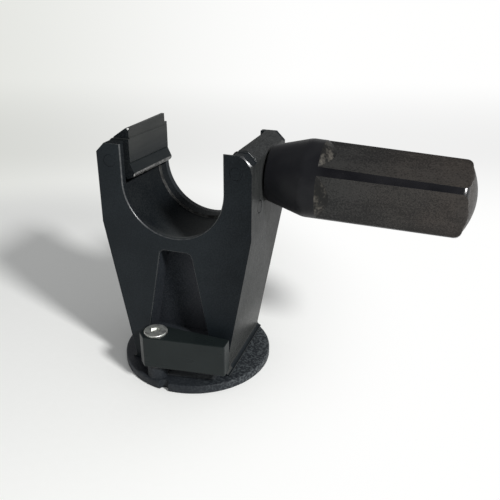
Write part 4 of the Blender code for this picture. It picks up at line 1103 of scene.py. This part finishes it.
def along_grip(spot):
    """Coordinates along the grip: X runs from the arm to the far end."""
    return about(spot, GRIP_ORIGIN, Euler((0, -GRIP_TILT, 0)))


def grip_round(name):
    """The round parts: bluish black with a low sheen and pale nicks, darker in strips between the flats."""
    material, spot = start_finish(name, Specular_IOR_Level=0.14)
    mottle = noise(spot, 80, 4)
    nicks = spread(noise(spot, 420, 3), 0.70, 0.80)
    amount = spread(mottle, 0.3, 0.7)
    cone = blend_colours(amount, (0.0085, 0.0088, 0.0106), (0.0135, 0.0138, 0.0154))
    strip = blend_colours(amount, (0.0040, 0.0040, 0.0056), (0.0078, 0.0077, 0.0094))
    base = blend_colours(spread(along(along_grip(spot), "X"), *STRIP_RANGE), cone, strip)
    colour = blend_colours(reckon('MULTIPLY', nicks, 0.3), base, (0.045, 0.044, 0.042))
    return dress(material, Base_Color=colour, Roughness=spread(mottle, 0.3, 0.7, 0.40, 0.48),
                 Normal=bump(noise(spot, 2600, 2), 0.02 * MM))


def grip_flats(name):
    """The flats: painted paler beside the front corner as reflected light, browner towards the far end, with
    faint handling streaks.
    """
    material, spot = start_finish(name, Specular_IOR_Level=0.22)
    lay = along_grip(spot)
    mottle = noise(lay, 60, 4)
    grain = noise(lay, 1500, 3)
    smear = shares(noise(lay, 180, 4, stretch=(0.35, 1, 1)), 0.35, grain, 0.65)
    # Painted reflection: the flats are paler near a line beside the front corner.
    beside = add_node(lay.id_data, "Mapping", Vector=lay, Scale=(0, 1, 1),
                      Location=(0, -SHEEN_CORNER_PLACE[0], -SHEEN_CORNER_PLACE[1])).outputs["Vector"]
    streak_and_sheen = reckon('ADD', smear, spread(distance(beside), *PAINTED_SHEEN_RANGE, 0.05, -0.05))
    far = spread(along(lay, "X"), *BROWN_RANGE)
    brown = reckon('MULTIPLY', far, spread(mottle, 0.25, 0.75, 0.5, 1.0))
    worn_and_sheen = spread(streak_and_sheen, 0.4, 0.6)
    neutral = blend_colours(worn_and_sheen, (0.0095, 0.0097, 0.0098), (0.0275, 0.0272, 0.0260))
    warm = blend_colours(worn_and_sheen, (0.0185, 0.0150, 0.0126), (0.0400, 0.0330, 0.0280))
    return dress(material, Base_Color=blend_colours(brown, neutral, warm),
                 Roughness=spread(streak_and_sheen, 0.3, 0.7, 0.46, 0.36),
                 Normal=bump(mottle, 0.10 * MM, under=bump(grain, 0.03 * MM)))


def grip_worn(name):
    """The shoulders: like the flats, with patches rubbed to a pale, dusty brown."""
    material, spot = start_finish(name, Specular_IOR_Level=0.10)
    dust = noise(spot, 900, 4)
    rubbed = spread(shares(noise(spot, 300, 6, stretch=(1, 0.5, 0.5)), 0.7, dust, 0.3), 0.47, 0.68)
    return dress(material, Base_Color=blend_colours(rubbed, (0.0100, 0.0100, 0.0097), (0.085, 0.078, 0.067)),
                 Roughness=spread(rubbed, 0, 1, 0.42, 0.62), Normal=bump(dust, 0.05 * MM))


grip_edge = polished("grip_edge", (0.018, 0.0170, 0.0160), (0.036, 0.0335, 0.0310), 0.36, 0.25)
grip_corner = polished("grip_corner", (0.006, 0.0062, 0.0070), (0.012, 0.0122, 0.0130), 0.24, 1.0)
grip_finishes = [grip_round("grip_round"), grip_flats("grip_flats"), grip_worn("grip_worn"), grip_edge,
                 grip_corner]
print("grip: round, flats, worn shoulders, rubbed edges and polished corners")

# %% Side grip
NECK_START = 0.68 * MM
NECK_RADIUS = 12.0 * MM
NECK_ROUND = 0.9 * MM
BAND_START = 16.7 * MM
BAND_ROUND = 1.2 * MM
GRIP_RADIUS = 16.25 * MM
GRIP_END = 79.48 * MM
GRIP_END_RADIUS = 15.4 * MM
GRIP_END_ROUND = 2.6 * MM
GRIP_CROWN = 3.4 * MM
CROWN_STEPS = 10
GRIP_ROLL = 0.8 * MM
INSERT_BORE = 5.2 * MM
INSERT_END = 24.2 * MM
FLAT_START = 22.7 * MM
FLAT_NEAR = 12.7 * MM
FLAT_FAR = 11.75 * MM
FLAT_REACH = GRIP_END + GRIP_CROWN + PAST
SHOULDER_RUN = 5.0 * MM
SHOULDER_SPARE = 0.5 * MM
FLAT_TURN = math.radians(16.5)
FLAT_COUNT = 4
FLAT_ROUND = 0.45 * MM
CORNER_ANGLE = 35
FLAT_SLACK = 5
crown_radius = GRIP_END_RADIUS - GRIP_END_ROUND
grip_profile = [(crown_radius * step / CROWN_STEPS, GRIP_END + GRIP_CROWN * (1 - (step / CROWN_STEPS) ** 2))
                for step in range(CROWN_STEPS)]
grip_profile += arc((crown_radius, GRIP_END - GRIP_END_ROUND), GRIP_END_ROUND, 90, 0, 9)
grip_profile += [(GRIP_RADIUS, BAND_START),
                 *arc((NECK_RADIUS - NECK_ROUND, NECK_START + NECK_ROUND), NECK_ROUND, 0, -90, 6),
                 (INSERT_BORE, NECK_START), (INSERT_BORE, INSERT_END), (0, INSERT_END)]
grip = lathe("grip_handle", grip_profile, 160)
round_edges(grip, BAND_ROUND, lambda a, b: both(a, b, Z, BAND_START), 4, sharper=8)
shoulder_slope = (GRIP_RADIUS - FLAT_NEAR) / SHOULDER_RUN
roll = arc((FLAT_FAR - GRIP_END_ROUND, GRIP_END - GRIP_ROLL), GRIP_END_ROUND, 0, 75, 10)
flat_section = [(FLAT_NEAR, FLAT_START), *roll, (roll[-1][0], FLAT_REACH), (2 * GRIP_RADIUS, FLAT_REACH),
                (2 * GRIP_RADIUS, FLAT_START)]
shoulder = [(0, FLAT_START + GRIP_RADIUS / shoulder_slope),
            (GRIP_RADIUS + PAST * shoulder_slope, FLAT_START - PAST), (0, FLAT_START - PAST)]
for number in range(FLAT_COUNT):
    slab = plate("flat_tool", [(x, -2 * GRIP_RADIUS, z) for x, z in flat_section], (0, 4 * GRIP_RADIUS, 0))
    combine(slab, lathe("shoulder_tool", shoulder, 160))
    combine(grip, place(slab, (0, 0, 0), (0, 0, FLAT_TURN + number * math.pi / 2)))
clean(grip)
flat_edges = round_edges(grip, FLAT_ROUND, lambda a, b: min(a.z, b.z) > FLAT_START - MM
                         and max(a.z, b.z) < GRIP_END - GRIP_END_ROUND + MM, 3, sharper=14)


def grip_finish(centre, normal):
    """0 round parts, 1 flats, 2 their shoulders, 3 their edges, 4 the corners at the far end."""
    if centre.z < FLAT_START - SHOULDER_SPARE:
        return 0
    if normal.z > 0.85:
        return 1
    turned = math.atan2(normal.y, normal.x) - FLAT_TURN
    off_flat = math.degrees(abs((turned + math.pi / 4) % (math.pi / 2) - math.pi / 4))
    if centre.z < FLAT_START + 2 * SHOULDER_RUN and normal.z > 0.3:
        return 2
    if centre.z > GRIP_END - GRIP_END_ROUND and off_flat > CORNER_ANGLE:
        return 4
    if off_flat < FLAT_SLACK:
        return 1
    return 3 if off_flat < CORNER_ANGLE else 0


paint_faces(grip, grip_finishes, grip_finish)
place(grip, GRIP_ORIGIN, ALONG_GRIP)
settle(grip, [], "grip", "grip_black", "side_grip")
print("grip:", flat_edges, "edges of the flats softened")

# %% [markdown]
# ## Clamp pad
# Inside the U, the screw ends in a steel pad with a rubber facing, both turned with broken edges. They ride
# on the sliding body, because the pad moves along the axis while the screw turns in it.

# %% Clamp pad
PAD_RADIUS = 7.0 * MM
PAD_BACK = -11.32 * MM
PAD_FRONT = PAD_BACK - 3.0 * MM
FACING_BACK = PAD_FRONT - 0.05 * MM
FACING_FRONT = PAD_FRONT - 1.8 * MM
PAD_SOCKET = PAD_BACK - 1.8 * MM
STUD_BORE = 3.2 * MM
PAD_ROUND = 0.4 * MM
pad = lathe("pad_disc", [
    (0, PAD_SOCKET), (STUD_BORE, PAD_SOCKET), (STUD_BORE, PAD_BACK),
    *arc((PAD_RADIUS - PAD_ROUND, PAD_BACK - PAD_ROUND), PAD_ROUND, 90, 0, 5),
    (PAD_RADIUS, PAD_FRONT), (0, PAD_FRONT)], 96)
settle(place(pad, GRIP_ORIGIN, ALONG_GRIP), [plain_steel], "pad", "bright_steel", "clamp_pad")
facing = lathe("pad_rubber", [
    (0, FACING_BACK), (PAD_RADIUS, FACING_BACK),
    *arc((PAD_RADIUS - 2 * PAD_ROUND, FACING_FRONT + 2 * PAD_ROUND), 2 * PAD_ROUND, 0, -90, 6),
    (0, FACING_FRONT)], 96)
settle(place(facing, GRIP_ORIGIN, ALONG_GRIP), [rubber], "pad", "rubber", "pad_facing")

# %% [markdown]
# ## Finishes for the nodes that stay
# The bushes, the stud, the washer, the spring and the retainer have the right shape already. They stay as
# they are, and only get the metal that they are made of.

# %% Finishes of the remaining nodes
STAYING = {"clip_spring": plain_steel, "clamp_stud": plain_steel, "stud_retainer": plain_steel,
           "lever_washer": dark_steel, "clamp_bush": turned_brass, "grip_insert": turned_brass,
           "lever_sleeve": turned_brass}
for name, finish in STAYING.items():
    node = frame["nodes"][name]
    node.data.materials.clear()
    node.data.materials.append(finish)
print("nodes that stay:", ", ".join(sorted(STAYING)))

# %% [markdown]
# ## Floor, backdrop and light
# The stand stands on a white sweep. One small soft lamp at the front right gives the shadow that falls to
# the left and back, and the room fills in the rest. The white of the backdrop belongs to the sweep and the
# sky, which only the camera and mirror-like rays see at full strength, so the stand itself isn't overlit.
# Farther off, the floor is a glow with painted shade: greyer to the left and darker in a band where a sweep
# would curve up.

# %% Floor
FLOOR_SIZE = 30.0
SWEEP_CENTRE = Vector((-0.13, 0.005, 0.0))
SWEEP_NEAR = 0.13
SWEEP_FAR = 0.24
SWEEP_START = 0.6
SWEEP_CURVE = 0.64
CURVE_START, CURVE_END = 0.40, 1.15
CURVE_SHADE = 0.87
SIDE_GREY, SIDE_WHITE = -0.52, 0.12


def seen_rays(tree):
    """1 for the rays that should see the backdrop at full strength: camera, mirror and glass rays."""
    path = add_node(tree, "LightPath").outputs
    seen = reckon('MAXIMUM', path["Is Camera Ray"], path["Is Glossy Ray"])
    return reckon('MAXIMUM', seen, path["Is Transmission Ray"])


def mix_shaders(amount, first, second, target):
    """Mix two shaders and link the mixture to a socket."""
    node = add_node(amount.id_data, "MixShader")
    for socket, value in zip(node.inputs, (amount, first, second)):
        feed(socket, value)
    feed(target, node.outputs["Shader"])


def backdrop_glow(spot):
    """The backdrop glow: painted shade makes it greyer to the left and a little darker in a band where paper
    would curve up; it is white to the right.
    """
    from_camera = about(spot, CAMERA_PLACE, Euler((0, 0, -CAMERA_TURN)))
    depth = along(from_camera, "Y")
    side = reckon('DIVIDE', along(from_camera, "X"), reckon('MAXIMUM', depth, SWEEP_START))
    # Painted shade: the glow darkens in a band across the depth and greys towards the left side.
    curve = reckon('MAXIMUM', spread(depth, CURVE_START, SWEEP_CURVE, 1.0, CURVE_SHADE),
                   spread(depth, SWEEP_CURVE, CURVE_END, CURVE_SHADE, 1.0))
    colour = blend_colours(spread(side, SIDE_GREY, SIDE_WHITE), (0.77, 0.78, 0.745), (1.0, 1.0, 0.995))
    return add_node(spot.id_data, "Emission", Color=colour, Strength=curve).outputs["Emission"]


def sweep_finish():
    """White paper that takes the shadow near the stand and fades into a backdrop glow with painted shade."""
    material, spot = start_finish("white_sweep", Roughness=0.9, Specular_IOR_Level=0.1)
    nodes = material.node_tree.nodes
    paper = blend_colours(noise(spot, 300, 3), (0.915, 0.918, 0.897), (0.935, 0.938, 0.918))
    fade = spread(distance(about(spot, SWEEP_CENTRE, Euler())), SWEEP_NEAR, SWEEP_FAR)
    fade = reckon('MULTIPLY', fade, seen_rays(material.node_tree))
    mix_shaders(fade, nodes["Principled BSDF"].outputs["BSDF"], backdrop_glow(spot),
                nodes["Material Output"].inputs["Surface"])
    return dress(material, Base_Color=paper)


bpy.ops.object.select_all(action='DESELECT')
bpy.ops.mesh.primitive_plane_add(size=FLOOR_SIZE)
floor = named("floor")
floor.data.materials.append(sweep_finish())
print("floor:", FLOOR_SIZE, "m wide")

# %% Light
KEY_TOWARDS = Vector((0.697, -0.412, 0.587))
KEY_AIM = Vector((0.01, 0.0, 0.05))
KEY_DISTANCE = 0.9
KEY_SIZE = 0.13
KEY_POWER = 8.1
ROOM_FILL = 0.40
ROOM_AHEAD = 0.16
ROOM_BEHIND = 0.8
ROOM_ABOVE = 0.25
AHEAD_BLEND = 0.35
ABOVE_START, ABOVE_END = 0.12, 0.6

bpy.ops.object.select_all(action='DESELECT')
bpy.ops.object.light_add(type='AREA', location=KEY_AIM + KEY_TOWARDS * KEY_DISTANCE,
                         rotation=KEY_TOWARDS.to_track_quat('Z', 'Y').to_euler())
key = bpy.context.object
key.name = "key_light"
key.data.shape = 'DISK'
key.data.size = KEY_SIZE
key.data.energy = KEY_POWER

world = bpy.data.worlds.new("studio")
bpy.context.scene.world = world
world.use_nodes = True
sky = world.node_tree
fill = sky.nodes["Background"]
feed(fill.inputs["Color"], (0.98, 0.99, 1.0, 1.0))
feed(fill.inputs["Strength"], ROOM_FILL)
direction = add_node(sky, "TexCoord").outputs["Generated"]
behind = spread(along(direction, "Y"), -AHEAD_BLEND, AHEAD_BLEND, ROOM_AHEAD, ROOM_BEHIND)
above = spread(along(direction, "Z"), ABOVE_START, ABOVE_END, 1.0, ROOM_ABOVE)
camera_ray = add_node(sky, "LightPath").outputs["Is Camera Ray"]
strength = reckon('MAXIMUM', reckon('MULTIPLY', behind, above), camera_ray)
bright = add_node(sky, "Background", Color=(1, 1, 1, 1), Strength=strength)
mix_shaders(seen_rays(sky), fill.outputs["Background"], bright.outputs["Background"],
            sky.nodes["World Output"].inputs["Surface"])
print("light: key of", KEY_POWER, "W at", KEY_DISTANCE, "m, room fill", ROOM_FILL)
